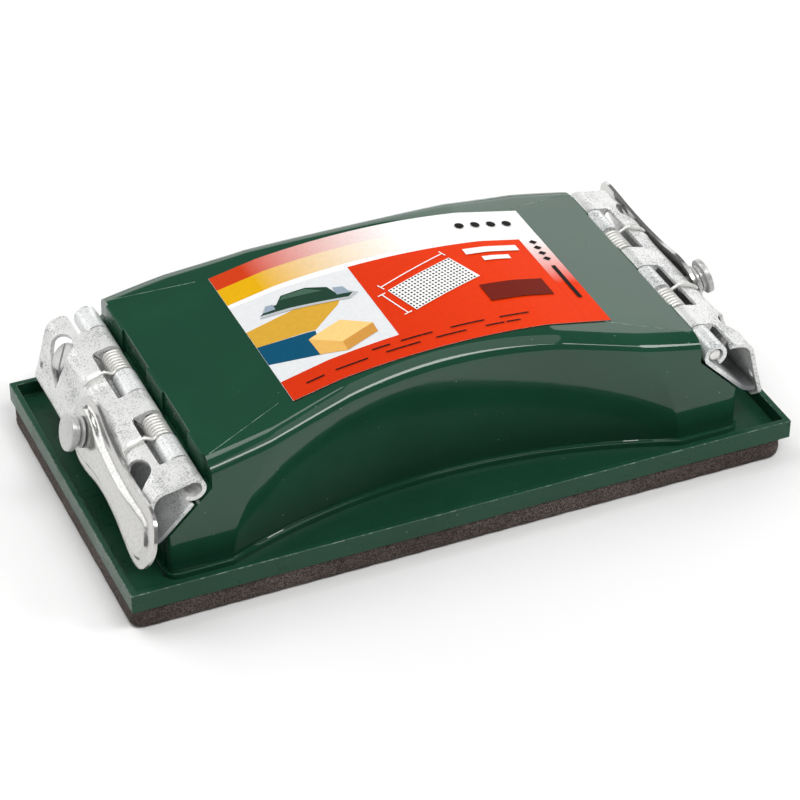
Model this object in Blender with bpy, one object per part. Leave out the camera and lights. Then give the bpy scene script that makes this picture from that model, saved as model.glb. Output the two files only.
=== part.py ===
"""Hand sanding block with two spring clamps, modelled at real size.

A flat base tray carries a foam pad below and a hollow arched handle shell above.
Each end of the handle has a sheet-steel clamp: a fixed plate on the handle's sloped
shoulder, a jaw plate hinged on a pin, two torsion springs, and a swinging lever.
The clamp is drawn once for the +X end and turned half a turn about Z for the -X end.

Frame: origin at the centre of the foam pad's underside, X along the block, +Z up.
All numbers below are millimetres and degrees; meshes are written in metres.
"""
import math

import bmesh
import bpy
from mathutils import Matrix, Vector

MM = 0.001
GAP = 0.3                       # clearance between neighbouring solids

# Foam pad and base tray
BASE_LENGTH = 165.0
BASE_WIDTH = 87.0
FOAM_THICKNESS = 5.5
FOAM_INSET = 1.0
FOAM_CORNER = 3.0
RIM_HEIGHT = 4.9
RIM_WALL = 1.5
FLOOR_THICKNESS = 1.4

# Handle shell
SHELL_WALL = 2.2
HANDLE_HALF_LENGTH = 71.0
HANDLE_HALF_WIDTH = 36.7
END_WALL_X = 60.5               # upright end wall above the sloped shoulder
SHOULDER_LOW_Z = 18.3           # height where the end wall meets the shoulder
CROWN_Z = 44.0
BREAK_X = 26.0                  # the top turns from a crown to straight slopes here
BREAK_Z = 42.25
END_TOP_Z = 34.9
TOP_HALF_WIDTH = 32.9
TOP_WAIST = 5.4                 # how far the top edge draws in at mid-length
EDGE_DROP_END = 1.3
EDGE_DROP_MID = 2.1
SCOOP_DEPTH = 10.9              # finger grip, measured at the foot
SCOOP_REACH = 56.0
SCOOP_LEAN = 11.0
SCOOP_BLEND = 1.5
FOOT_STEP = 1.1
FOOT_HEIGHT = 1.0
FOOT_CORNER = 3.0

# Label on the top face
LABEL_X = (-37.6, 42.0)
LABEL_Y = (-26.8, 25.0)
LABEL_THICKNESS = 0.25

# Clamp, drawn at the +X end
PIN_X = 64.6
PIN_Z = 29.5
PIN_RADIUS = 1.45
PIN_ENDS = (-36.2, 31.8)        # the far end stops inside the last knuckle
SHEET = 1.0
CURL_RADIUS = 2.4               # middle of the sheet, about the pin
KNUCKLES = 8
CLAMP_HALF_LENGTH = 36.4
SPRING_KNUCKLES = (2, 5)
PLATE_SLOPE = 12.9              # length of the fixed plate's straight slope below the pin
PLATE_BEND = 5.0
PLATE_LIP_X = 76.0
FACE_TILT = 15.0                # lean of the jaw's face from upright
JAW_LIFT = 78.0                 # direction the jaw's top plate faces, from +X towards +Z
JAW_BEND = 3.6
JAW_FACE = 11.7                 # straight part of the face, from the bend to the hook
HOOK_RADIUS = 1.6
HOOK_TIP = 0.75
WINDOW_X = 69.2
WIRE_RADIUS = 0.42
COIL_RADIUS = 2.1
COIL_TURNS = 7
UPPER_LEG = (3.4, 6.2)          # where the upper leg leaves the coil and reaches the jaw
UPPER_LEG_TIP = 56.0
LOWER_LEG = 4.2
LOWER_LEG_ANGLE = 250.0

# Lever, in its own plane: u along the lever, v across it, w outwards
PIVOT_X = 75.42
PIVOT_Z = 23.57
LEVER_BACK = 0.35
LEVER_SHEET = 0.95
LEVER_RISE = 1.2
LEVER_HEAD_RADIUS = 8.2
LEVER_TIP_U = 37.2
LEVER_TIP_V = -2.2
LEVER_TIP_RADIUS = 7.7
RIGHT_LEVER_RAISED = 3.0        # the right lever is stowed this many degrees above the left one
RIVET_RADIUS = 1.9
HEAD_RADIUS = 4.4
HEAD_THICKNESS = 1.6
COLLAR_RADIUS = 3.3
COLLAR_THICKNESS = 0.9
WASHER_RADIUS = 3.7
WASHER_THICKNESS = 0.8

# Slotted screw along the normal of the sloped shoulder
SCREW_X = 69.05
SCREW_Z = 22.36
SCREW_Y = 26.3
SCREW_RADIUS = 1.6
SCREW_HEAD_RADIUS = 3.5
SCREW_HEAD = 1.6
SCREW_SLOT = 0.8
SCREW_RISE = 5.0                # shank showing under the screw's head
SCREW_BITE = 9.5
BOSS_RADIUS = 3.4
BOSS_LENGTH = 10.5
ACCESS_RADIUS = 4.8             # access holes through the jaw's bend
ACCESS_SQUASH = 0.87
ACCESS_TAIL = 6.6
ACCESS_LEAN = 2.2


def clear_scene():
    """Remove every object, so the script starts from nothing."""
    for item in list(bpy.data.objects):
        bpy.data.objects.remove(item, do_unlink=True)


def material(name, colour, roughness, metallic=0.0):
    """A Principled material with a plain colour."""
    made = bpy.data.materials.new(name)
    made.use_nodes = True
    shader = made.node_tree.nodes["Principled BSDF"]
    shader.inputs["Base Color"].default_value = (*colour, 1.0)
    shader.inputs["Roughness"].default_value = roughness
    shader.inputs["Metallic"].default_value = metallic
    return made


def mesh_from(name, points, faces):
    """A closed mesh from points in millimetres, its faces turned outwards."""
    mesh = bpy.data.meshes.new(name)
    work = bmesh.new()
    verts = [work.verts.new(Vector(point) * MM) for point in points]
    for face in faces:
        work.faces.new([verts[index] for index in face])
    bmesh.ops.recalc_face_normals(work, faces=work.faces)
    work.to_mesh(mesh)
    work.free()
    return mesh


def loft(name, rings):
    """Closed rings of points joined in order, with flat caps at both ends."""
    count = len(rings[0])
    points = [point for ring in rings for point in ring]
    faces = [list(range(count))]
    for ring in range(len(rings) - 1):
        low = ring * count
        high = low + count
        for index in range(count):
            after = (index + 1) % count
            faces.append([low + index, low + after, high + after, high + index])
    last = (len(rings) - 1) * count
    faces.append(list(range(last, last + count)))
    return mesh_from(name, points, faces)


def prism_y(name, outline, low, high):
    """An X-Z outline drawn out along Y."""
    return loft(name, [[(x, y, z) for x, z in outline] for y in (low, high)])


def prism_z(name, outline, low, high):
    """An X-Y outline drawn out along Z."""
    return loft(name, [[(x, y, z) for x, y in outline] for z in (low, high)])


def box(name, low, high):
    """An upright box between two corners."""
    corners = [(low[0], low[1]), (high[0], low[1]), (high[0], high[1]), (low[0], high[1])]
    return prism_z(name, corners, low[2], high[2])


def turned(name, origin, axis, profile, segments):
    """A solid of revolution; profile holds (distance along the axis, radius) pairs."""
    along = Vector(axis).normalized()
    side = along.orthogonal().normalized()
    other = along.cross(side)
    rings = []
    for distance, radius in profile:
        centre = Vector(origin) + along * distance
        ring = []
        for step in range(segments):
            angle = 2.0 * math.pi * step / segments
            ring.append(centre + radius * (math.cos(angle) * side + math.sin(angle) * other))
        rings.append(ring)
    return loft(name, rings)


def boolean(mesh, cutter, operation):
    """Return mesh after one exact Boolean with cutter; both inputs are used up."""
    target = bpy.data.objects.new("target", mesh)
    tool = bpy.data.objects.new("tool", cutter)
    bpy.context.scene.collection.objects.link(target)
    bpy.context.scene.collection.objects.link(tool)
    step = target.modifiers.new("cut", "BOOLEAN")
    step.object = tool
    step.operation = operation
    step.solver = "EXACT"
    bpy.context.view_layer.update()
    evaluated = target.evaluated_get(bpy.context.evaluated_depsgraph_get())
    result = bpy.data.meshes.new_from_object(evaluated)
    result.name = mesh.name
    bpy.data.objects.remove(target, do_unlink=True)
    bpy.data.objects.remove(tool, do_unlink=True)
    return result


def cut(mesh, *cutters):
    """Subtract each cutter in turn."""
    for cutter in cutters:
        mesh = boolean(mesh, cutter, "DIFFERENCE")
    return mesh


def join(mesh, *additions):
    """Unite mesh with each addition in turn."""
    for addition in additions:
        mesh = boolean(mesh, addition, "UNION")
    return mesh


def rounded_rectangle(half_x, half_y, radius, steps=4):
    """Corner points of a rectangle with round corners, anticlockwise."""
    points = []
    for quarter, (sx, sy) in enumerate(((1, 1), (-1, 1), (-1, -1), (1, -1))):
        for step in range(steps + 1):
            angle = math.radians(90.0 * quarter + 90.0 * step / steps)
            x = sx * (half_x - radius) + radius * math.cos(angle)
            y = sy * (half_y - radius) + radius * math.sin(angle)
            points.append((x, y))
    return points


def arc(centre_x, centre_z, radius, start, end, steps):
    """Points on an arc in the X-Z plane, angles in degrees from +X towards +Z."""
    points = []
    for step in range(steps + 1):
        angle = math.radians(start + (end - start) * step / steps)
        points.append((centre_x + radius * math.cos(angle), centre_z + radius * math.sin(angle)))
    return points


def sheet_outline(path, thickness):
    """Closed outline of a bent sheet that has path as its middle line."""
    left, right = [], []
    for index, point in enumerate(path):
        here = Vector(point)
        before = Vector(path[max(index - 1, 0)])
        after = Vector(path[min(index + 1, len(path) - 1)])
        into = here - before if index else after - here
        out = after - here if index < len(path) - 1 else into
        direction = (into.normalized() + out.normalized()).normalized()
        normal = Vector((-direction.y, direction.x))
        stretch = 1.0 / max(normal.dot(Vector((-into.y, into.x)).normalized()), 0.5)
        offset = normal * (0.5 * thickness * stretch)
        left.append(tuple(here + offset))
        right.append(tuple(here - offset))
    return left + right[::-1]


# ---------------------------------------------------------------- base and foam

def foam_pad():
    """Foam slab with round corners, glued under the tray."""
    outline = rounded_rectangle(BASE_LENGTH / 2 - FOAM_INSET, BASE_WIDTH / 2 - FOAM_INSET, FOAM_CORNER)
    return prism_z("foam_pad", outline, 0.0, FOAM_THICKNESS - GAP)


def base_tray():
    """Flat sole with an upstanding rim all round."""
    half_x, half_y = BASE_LENGTH / 2, BASE_WIDTH / 2
    floor_z = FOAM_THICKNESS + FLOOR_THICKNESS
    rim_z = FOAM_THICKNESS + RIM_HEIGHT
    block = box("base_tray", (-half_x, -half_y, FOAM_THICKNESS), (half_x, half_y, rim_z))
    inner_x, inner_y = half_x - RIM_WALL, half_y - RIM_WALL
    hollow = box("hollow", (-inner_x, -inner_y, floor_z), (inner_x, inner_y, rim_z + 1.0))
    return cut(block, hollow)


# ----------------------------------------------------------------- handle shell

def waist(x):
    """1 at mid-length, falling smoothly to 0 at the end walls."""
    reach = min(abs(x) / END_WALL_X, 1.0)
    return 0.5 + 0.5 * math.cos(math.pi * reach)


def top_height(x):
    """Height of the handle's top face: a low crown between two straight slopes."""
    distance = abs(x)
    if distance <= BREAK_X:
        return CROWN_Z - (CROWN_Z - BREAK_Z) * (distance / BREAK_X) ** 2
    slope = (BREAK_Z - END_TOP_Z) / (END_WALL_X - BREAK_X)
    return BREAK_Z - slope * (distance - BREAK_X)


def wall_half_width(x, rise):
    """Half-width of the side wall; rise runs from 0 at the foot to 1 at the edge band."""
    reach = SCOOP_REACH - SCOOP_LEAN * rise * rise
    low = SCOOP_DEPTH * max(0.0, 1.0 - (x / reach) ** 2)
    high = TOP_WAIST * waist(x)
    blend = rise ** SCOOP_BLEND
    return HANDLE_HALF_WIDTH - (1.0 - blend) * low - blend * high


def handle_section(x, inset, foot_z):
    """Cross-section of the handle at x, foot to foot, pulled in by inset."""
    top_z = top_height(x) - inset
    edge_drop = EDGE_DROP_END + (EDGE_DROP_MID - EDGE_DROP_END) * waist(x)
    edge_z = top_z - edge_drop
    half = [(wall_half_width(x, 0.0) - inset, foot_z)]
    for rise in (0.15, 0.35, 0.6, 0.85):
        z = foot_z + (edge_z - foot_z) * rise
        half.append((wall_half_width(x, rise) - inset, z))
    half.append((wall_half_width(x, 1.0) - inset, edge_z - 1.0))
    half.append((wall_half_width(x, 1.0) - 0.5 - inset, edge_z))
    top_half = TOP_HALF_WIDTH - TOP_WAIST * waist(x)
    half.append((top_half - 0.8 * inset, top_z))
    right = [(x, y, z) for y, z in half]
    left = [(x, -y, z) for y, z in reversed(half)]
    return right + left


def handle_body(name, inset, foot_z):
    """Full arched body with its sloped shoulders, either outer or inner surface."""
    end = HANDLE_HALF_LENGTH - inset
    inner = (0, 8, 17, 26, 34, 42, 49, 54, 58, 61)
    stations = sorted({-end, end} | {float(x) for x in inner} | {-float(x) for x in inner})
    body = loft(name, [handle_section(x, inset, foot_z) for x in stations])
    wall = END_WALL_X - inset
    drop = inset * (math.sqrt(2.0) - 1.0)
    low_z = SHOULDER_LOW_Z - drop
    high_z = low_z + end - wall
    for side in (1, -1):
        outline = [(wall * side, 60.0), (wall * side, high_z), (end * side, low_z),
                   ((end + 5.0) * side, low_z - 5.0), ((end + 5.0) * side, 60.0)]
        body = cut(body, prism_y("shoulder", outline, -50.0, 50.0))
    return body


def foot_flange(foot_z):
    """Low step that follows the foot of the side walls and end walls."""
    end = HANDLE_HALF_LENGTH + FOOT_STEP
    corner = FOOT_CORNER
    side = [(x, wall_half_width(min(x, HANDLE_HALF_LENGTH), 0.0) + FOOT_STEP)
            for x in (0.0, 8.0, 17.0, 26.0, 34.0, 42.0, 49.0, 54.0, 58.0, end - corner)]
    wide = side[-1][1]
    for step in range(1, 5):
        angle = math.radians(90.0 - 22.5 * step)
        side.append((end - corner + corner * math.cos(angle), wide - corner + corner * math.sin(angle)))
    back = [(-x, y) for x, y in reversed(side[1:])]
    upper = back + side
    lower = [(x, -y) for x, y in reversed(upper)]
    return prism_z("foot_flange", upper + lower, foot_z, foot_z + FOOT_HEIGHT)


def handle_shell():
    """Thin-walled handle, open below, with a foot flange and a boss for each screw."""
    foot_z = FOAM_THICKNESS + FLOOR_THICKNESS + GAP
    shell = join(handle_body("handle_shell", 0.0, foot_z), foot_flange(foot_z))
    shell = cut(shell, handle_body("cavity", SHELL_WALL, foot_z - 2.0))
    normal = Vector((1.0, 0.0, 1.0)).normalized()
    surface = Vector((SCREW_X, 0.0, SCREW_Z)) - normal * (SHEET + GAP)
    for side in (1, -1):
        seat = Vector((surface.x * side, -SCREW_Y * side, surface.z))
        inward = Vector((-normal.x * side, 0.0, -normal.z))
        boss = turned("boss", seat + inward * 1.2, inward, ((0.0, BOSS_RADIUS), (BOSS_LENGTH, BOSS_RADIUS)), 16)
        pilot_radius = SCREW_RADIUS + GAP
        pilot = turned("pilot", seat - inward * 3.0, inward,
                       ((0.0, pilot_radius), (BOSS_LENGTH + 6.0, pilot_radius)), 12)
        shell = cut(join(shell, boss), pilot)
    return shell


def label():
    """Thin sticker that follows the bends of the top face."""
    stations = [LABEL_X[0], -BREAK_X, -17.0, -8.0, 0.0, 8.0, 17.0, BREAK_X, LABEL_X[1]]
    rings = []
    for x in stations:
        low = top_height(x) + GAP
        high = low + LABEL_THICKNESS
        rings.append([(x, LABEL_Y[0], low), (x, LABEL_Y[1], low), (x, LABEL_Y[1], high), (x, LABEL_Y[0], high)])
    return loft("label", rings)


# ------------------------------------------------------------- clamp at +X end

def knuckle_span(first, last=None):
    """Y range covered by knuckles first to last, without their clearance."""
    pitch = 2.0 * CLAMP_HALF_LENGTH / KNUCKLES
    last = first if last is None else last
    return -CLAMP_HALF_LENGTH + pitch * first, -CLAMP_HALF_LENGTH + pitch * (last + 1)


def shoulder_point(along, height):
    """Point on the slope: along runs down it from below the pin, height stands off it."""
    slope = math.sqrt(0.5)
    surface = CURL_RADIUS + SHEET / 2
    x = PIN_X + slope * along + slope * (height - surface)
    z = PIN_Z - slope * along + slope * (height - surface)
    return x, z


def fixed_plate():
    """Plate on the shoulder: curled knuckles above, a level lip below."""
    curl = arc(PIN_X, PIN_Z, CURL_RADIUS, -65.0, 225.0, 16)
    bend_radius = PLATE_BEND
    start_x, start_z = shoulder_point(PLATE_SLOPE, SHEET / 2)
    centre_x = start_x + bend_radius * math.sqrt(0.5)
    centre_z = start_z + bend_radius * math.sqrt(0.5)
    bend = arc(centre_x, centre_z, bend_radius, 225.0, 270.0, 4)
    lip = [(PLATE_LIP_X, centre_z - bend_radius)]
    outline = sheet_outline(curl + bend + lip, SHEET)
    plate = prism_y("fixed_plate", outline, -CLAMP_HALF_LENGTH, CLAMP_HALF_LENGTH)
    corners = (shoulder_point(3.0, -1.0), shoulder_point(3.0, 9.0),
               shoulder_point(-7.0, 9.0), shoulder_point(-7.0, -1.0))
    for first, last in ((1, 2), (4, 5), (7, 7)):
        low, high = knuckle_span(first, last)
        margin = 1.0 if last == KNUCKLES - 1 else GAP / 2
        plate = cut(plate, prism_y("relief", corners, low - GAP / 2, high + margin))
    normal = Vector((1.0, 0.0, 1.0)).normalized()
    start = Vector((SCREW_X, -SCREW_Y, SCREW_Z)) - normal * 4.0
    hole = SCREW_RADIUS + GAP
    return cut(plate, turned("hole", start, normal, ((0.0, hole), (8.0, hole)), 12))


def facing(angle):
    """Unit X-Z direction at an angle from +X towards +Z."""
    return Vector((math.cos(math.radians(angle)), math.sin(math.radians(angle))))


def jaw_bend_centre():
    """Centre of the bend that runs tangentially from the top plate into the face."""
    lift, face = facing(JAW_LIFT), facing(FACE_TILT)
    over = Vector((PIN_X, PIN_Z)).dot(lift) + CURL_RADIUS - JAW_BEND
    out = Vector((PIVOT_X, PIVOT_Z)).dot(face) - JAW_BEND
    cross = lift.x * face.y - lift.y * face.x
    return Vector(((over * face.y - out * lift.y) / cross, (out * lift.x - over * face.x) / cross))


def jaw_path():
    """Middle line of the jaw: curl, top plate, rounded bend, leaning face, hook."""
    curl = arc(PIN_X, PIN_Z, CURL_RADIUS, 320.0, JAW_LIFT, 14)
    centre = jaw_bend_centre()
    bend = arc(centre.x, centre.y, JAW_BEND, JAW_LIFT, FACE_TILT, 5)
    face_end = Vector(bend[-1]) - facing(FACE_TILT + 90.0) * JAW_FACE
    middle = face_end - facing(FACE_TILT) * HOOK_RADIUS
    hook = arc(middle.x, middle.y, HOOK_RADIUS, FACE_TILT, -60.0, 4)
    tip = Vector(hook[-1]) + facing(210.0) * HOOK_TIP
    return curl + bend + hook + [tuple(tip)]


def access_hole(y, lean):
    """Teardrop cutter square to the slope, with its tail towards the hook."""
    normal = Vector((1.0, 0.0, 1.0)).normalized()
    down = Vector((1.0, 0.0, -1.0)).normalized()
    outline = []
    for step in range(15):
        angle = math.radians(65.0 + 230.0 * step / 14)
        outline.append((ACCESS_RADIUS * math.sin(angle), ACCESS_SQUASH * ACCESS_RADIUS * math.cos(angle)))
    outline.append((lean, ACCESS_TAIL))
    rings = []
    for height in (2.5, 13.0):
        middle = Vector((SCREW_X, y, SCREW_Z)) + normal * height
        rings.append([middle + Vector((0.0, across, 0.0)) + down * along for across, along in outline])
    return loft("access", rings)


def jaw():
    """Hinged jaw plate with spring windows, access holes and the rivet hole."""
    outline = sheet_outline(jaw_path(), SHEET)
    plate = prism_y("jaw", outline, -CLAMP_HALF_LENGTH, CLAMP_HALF_LENGTH)
    for first, last in ((0, 0), (2, 3), (5, 6)):
        low, high = knuckle_span(first, last)
        low = low - 1.0 if first == 0 else low - GAP / 2
        window = box("window", (PIN_X - 6.0, low, PIN_Z - 6.0), (WINDOW_X, high + GAP / 2, PIN_Z + 6.0))
        plate = cut(plate, window)
    tilt = math.radians(FACE_TILT)
    outward = Vector((math.cos(tilt), 0.0, math.sin(tilt)))
    start = Vector((PIVOT_X, 0.0, PIVOT_Z)) - outward * 3.0
    hole = RIVET_RADIUS + GAP
    rivet_hole = turned("hole", start, outward, ((0.0, hole), (6.0, hole)), 16)
    return cut(plate, access_hole(-SCREW_Y, ACCESS_LEAN), access_hole(SCREW_Y, -ACCESS_LEAN), rivet_hole)


def hinge_pin():
    """Plain round pin through the knuckles."""
    length = PIN_ENDS[1] - PIN_ENDS[0]
    profile = ((0.0, PIN_RADIUS - 0.3), (0.3, PIN_RADIUS), (length - 0.3, PIN_RADIUS), (length, PIN_RADIUS - 0.3))
    return turned("hinge_pin", (PIN_X, PIN_ENDS[0], PIN_Z), (0.0, 1.0, 0.0), profile, 16)


def spring(knuckle):
    """Torsion spring: lower leg, close coils about the pin, upper leg over the jaw."""
    low, high = knuckle_span(knuckle)
    start_y = low + 2 * GAP + WIRE_RADIUS
    end_y = high - 2 * GAP - WIRE_RADIUS
    first_angle, last_angle = LOWER_LEG_ANGLE, 90.0 - 360.0 * COIL_TURNS
    per_turn = 11
    steps = int((first_angle - last_angle) / 360.0 * per_turn)
    path = []
    lower = math.radians(first_angle)
    for reach in (LOWER_LEG, LOWER_LEG / 2):
        x = PIN_X + COIL_RADIUS * math.cos(lower) - reach * math.sin(lower)
        z = PIN_Z + COIL_RADIUS * math.sin(lower) + reach * math.cos(lower)
        path.append(Vector((x, start_y, z)))
    for step in range(steps + 1):
        share = step / steps
        angle = math.radians(first_angle + (last_angle - first_angle) * share)
        y = start_y + (end_y - start_y) * share
        path.append(Vector((PIN_X + COIL_RADIUS * math.cos(angle), y, PIN_Z + COIL_RADIUS * math.sin(angle))))
    lift = facing(JAW_LIFT)
    ride = SHEET / 2 + WIRE_RADIUS + GAP
    upper = [Vector((PIN_X, PIN_Z)) + lift * (CURL_RADIUS + ride) + Vector((lift.y, -lift.x)) * reach
             for reach in UPPER_LEG]
    upper.append(jaw_bend_centre() + facing(UPPER_LEG_TIP) * (JAW_BEND + ride))
    path.extend(Vector((point.x, end_y, point.y)) for point in upper)
    rings = []
    for index, point in enumerate(path):
        tangent = (path[min(index + 1, len(path) - 1)] - path[max(index - 1, 0)]).normalized()
        side = (Vector((0.0, 1.0, 0.0)) - tangent * tangent.y).normalized()
        other = tangent.cross(side)
        ring = []
        for corner in range(6):
            angle = math.radians(60.0 * corner)
            ring.append(point + WIRE_RADIUS * (math.cos(angle) * side + math.sin(angle) * other))
        rings.append(ring)
    return loft("spring", rings)


def lever_frame():
    """Axes of the lever's plane: along the lever, across it, and outwards."""
    tilt = math.radians(FACE_TILT)
    along = Vector((0.0, 1.0, 0.0))
    across = Vector((-math.sin(tilt), 0.0, math.cos(tilt)))
    outward = Vector((math.cos(tilt), 0.0, math.sin(tilt)))
    return along, across, outward


def lever_outline(inset):
    """Teardrop paddle: a round head on the rivet, a slim neck and a round, low tip."""
    upper = ((9.0, 6.6), (17.0, 5.3), (25.0, 4.9), (32.0, 4.9))
    lower = ((35.0, -10.0), (27.0, -8.0), (18.0, -6.7), (9.0, -7.0))
    points = []
    for step in range(9):
        angle = math.radians(250.0 - 190.0 * step / 8)
        radius = LEVER_HEAD_RADIUS - inset
        points.append((radius * math.cos(angle), radius * math.sin(angle)))
    points.extend((u, v - inset) for u, v in upper)
    for step in range(9):
        angle = math.radians(75.0 - 175.0 * step / 8)
        points.append((LEVER_TIP_U + (LEVER_TIP_RADIUS - inset) * math.cos(angle),
                       LEVER_TIP_V + (LEVER_TIP_RADIUS - inset) * math.sin(angle)))
    points.extend((u, v + inset) for u, v in lower)
    return points


def lever():
    """Pressed steel lever: a flat flange round a raised middle, and the rivet hole."""
    along, across, outward = lever_frame()
    pivot = Vector((PIVOT_X, 0.0, PIVOT_Z))

    def ring(inset, height):
        return [pivot + along * u + across * v + outward * height for u, v in lever_outline(inset)]

    back = SHEET / 2 + LEVER_BACK
    front = back + LEVER_SHEET
    skin = loft("lever", [
        ring(3.4, back + LEVER_RISE), ring(2.4, back), ring(0.0, back),
        ring(0.0, front), ring(2.0, front), ring(3.0, front + LEVER_RISE)])
    hole = RIVET_RADIUS + GAP
    rivet_hole = turned("hole", pivot, outward, ((0.0, hole), (8.0, hole)), 16)
    return cut(skin, rivet_hole)


def lever_washer():
    """Washer between the lever and the rivet's collar."""
    along, across, outward = lever_frame()
    start = SHEET / 2 + LEVER_BACK + LEVER_SHEET + LEVER_RISE + GAP
    pivot = Vector((PIVOT_X, 0.0, PIVOT_Z)) + outward * start
    disc = turned("lever_washer", pivot, outward, ((0.0, WASHER_RADIUS), (WASHER_THICKNESS, WASHER_RADIUS)), 24)
    hole = RIVET_RADIUS + GAP
    return cut(disc, turned("hole", pivot - outward, outward, ((0.0, hole), (4.0, hole)), 16))


def lever_rivet():
    """Rivet: upset end behind the jaw, shank, collar and broad flat head."""
    along, across, outward = lever_frame()
    pivot = Vector((PIVOT_X, 0.0, PIVOT_Z))
    back = -SHEET / 2 - GAP
    collar = SHEET / 2 + LEVER_BACK + LEVER_SHEET + LEVER_RISE + WASHER_THICKNESS + 2 * GAP
    head = collar + COLLAR_THICKNESS
    top = head + HEAD_THICKNESS
    profile = ((back - 0.9, 2.2), (back - 0.3, 3.1), (back, 3.1), (back, RIVET_RADIUS), (collar, RIVET_RADIUS),
               (collar, COLLAR_RADIUS), (head, COLLAR_RADIUS), (head, HEAD_RADIUS),
               (top - 0.4, HEAD_RADIUS), (top, HEAD_RADIUS - 0.4))
    return turned("lever_rivet", pivot, outward, profile, 24)


def plate_screw():
    """Slotted screw square to the shoulder, its head standing up inside an access hole."""
    normal = Vector((1.0, 0.0, 1.0)).normalized()
    seat = Vector((SCREW_X, -SCREW_Y, SCREW_Z)) + normal * GAP
    top = SCREW_RISE + SCREW_HEAD
    profile = ((-SCREW_BITE - GAP, 0.6), (1.2 - SCREW_BITE, SCREW_RADIUS), (SCREW_RISE, SCREW_RADIUS),
               (SCREW_RISE, SCREW_HEAD_RADIUS), (top - 0.4, SCREW_HEAD_RADIUS), (top, SCREW_HEAD_RADIUS - 0.5))
    screw = turned("plate_screw", seat, normal, profile, 24)
    centre = seat + normal * top
    down = Vector((1.0, 0.0, -1.0)).normalized()
    slot_along = (down + Vector((0.0, 1.0, 0.0))).normalized()
    slot_across = normal.cross(slot_along)
    rings = []
    for reach in (-5.0, 5.0):
        middle = centre + slot_along * reach
        half = slot_across * (SCREW_SLOT / 2)
        rings.append([middle - half - normal * 0.8, middle + half - normal * 0.8,
                      middle + half + normal, middle - half + normal])
    return cut(screw, loft("slot", rings))


# --------------------------------------------------------------------- assembly

def shaded(mesh, look):
    """Give a mesh its material and smooth round faces with crisp edges."""
    mesh.materials.clear()
    mesh.materials.append(look)
    mesh.shade_smooth()
    mesh.set_sharp_from_angle(angle=math.radians(32.0))
    return mesh


def place(name, mesh, parent=None, pivot=(0.0, 0.0, 0.0)):
    """Add mesh to the scene as an object whose origin is at pivot, in its parent's frame."""
    made = bpy.data.objects.new(name, mesh)
    bpy.context.scene.collection.objects.link(made)
    made.parent = parent
    made.location = Vector(pivot) * MM
    return made


def recentred(mesh, pivot):
    """Move a mesh so that pivot becomes its origin."""
    mesh.transform(Matrix.Translation(-Vector(pivot) * MM))
    return mesh


def raised_lever(mesh):
    """The lever turned a little way up about its rivet, in its own frame."""
    along, across, outward = lever_frame()
    made = mesh.copy()
    made.transform(Matrix.Rotation(math.radians(RIGHT_LEVER_RAISED), 4, outward))
    return made


def main():
    clear_scene()
    foam = material("foam", (0.055, 0.038, 0.032), 0.95)
    green = material("green_plastic", (0.012, 0.082, 0.045), 0.3)
    paper = material("label_paper", (0.80, 0.09, 0.02), 0.5)
    zinc = material("zinc_plate", (0.72, 0.73, 0.73), 0.35, 1.0)
    bright = material("bright_steel", (0.80, 0.80, 0.79), 0.22, 1.0)

    place("foam_pad", shaded(foam_pad(), foam))
    place("base_tray", shaded(base_tray(), green))
    place("handle_shell", shaded(handle_shell(), green))
    place("label", shaded(label(), paper))

    hinge = (PIN_X, 0.0, PIN_Z)
    pivot = (PIVOT_X, 0.0, PIVOT_Z)
    pieces = (
        ("fixed_plate", fixed_plate(), zinc, (0.0, 0.0, 0.0)),
        ("hinge_pin", hinge_pin(), bright, hinge),
        ("jaw", jaw(), zinc, hinge),
        ("spring_a", spring(SPRING_KNUCKLES[0]), bright, hinge),
        ("spring_b", spring(SPRING_KNUCKLES[1]), bright, hinge),
        ("lever", lever(), bright, pivot),
        ("lever_washer", lever_washer(), zinc, pivot),
        ("lever_rivet", lever_rivet(), bright, pivot),
        ("plate_screw", plate_screw(), bright, (0.0, 0.0, 0.0)),
    )
    meshes = [(name, shaded(recentred(mesh, origin), look), origin) for name, mesh, look, origin in pieces]
    for side, turn in (("right", 0.0), ("left", math.pi)):
        clamp = bpy.data.objects.new(f"{side}_clamp", None)
        bpy.context.scene.collection.objects.link(clamp)
        clamp.rotation_euler.z = turn
        for name, mesh, origin in meshes:
            if (side, name) == ("right", "lever"):
                mesh = raised_lever(mesh)
            place(f"{side}_{name}", mesh, clamp, origin)


main()
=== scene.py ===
"""Visual model of a hand sanding block with two spring clamps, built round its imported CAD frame.

Sizes in the constants are millimetres; meshes are written in metres in the frame's own axes:
X along the block, Y across it, Z up, origin under the middle of the foam pad.
The clamp is drawn once, at the +X end, and turned half a turn about Z for the other end.
"""
import math

import bmesh
import bpy
import numpy as np
from mathutils import Matrix, Vector


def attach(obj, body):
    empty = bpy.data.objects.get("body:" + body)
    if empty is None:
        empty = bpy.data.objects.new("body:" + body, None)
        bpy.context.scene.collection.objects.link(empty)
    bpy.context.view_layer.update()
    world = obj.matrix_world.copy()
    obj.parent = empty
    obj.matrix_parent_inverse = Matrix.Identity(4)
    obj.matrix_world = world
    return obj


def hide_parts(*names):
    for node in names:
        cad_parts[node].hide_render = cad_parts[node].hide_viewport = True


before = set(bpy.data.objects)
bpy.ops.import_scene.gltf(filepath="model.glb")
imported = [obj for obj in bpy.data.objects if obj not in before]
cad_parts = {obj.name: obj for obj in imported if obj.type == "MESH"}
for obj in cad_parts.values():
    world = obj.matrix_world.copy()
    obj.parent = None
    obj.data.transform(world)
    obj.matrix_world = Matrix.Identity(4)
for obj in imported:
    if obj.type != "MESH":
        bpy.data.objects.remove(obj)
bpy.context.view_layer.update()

MM = 0.001

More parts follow.
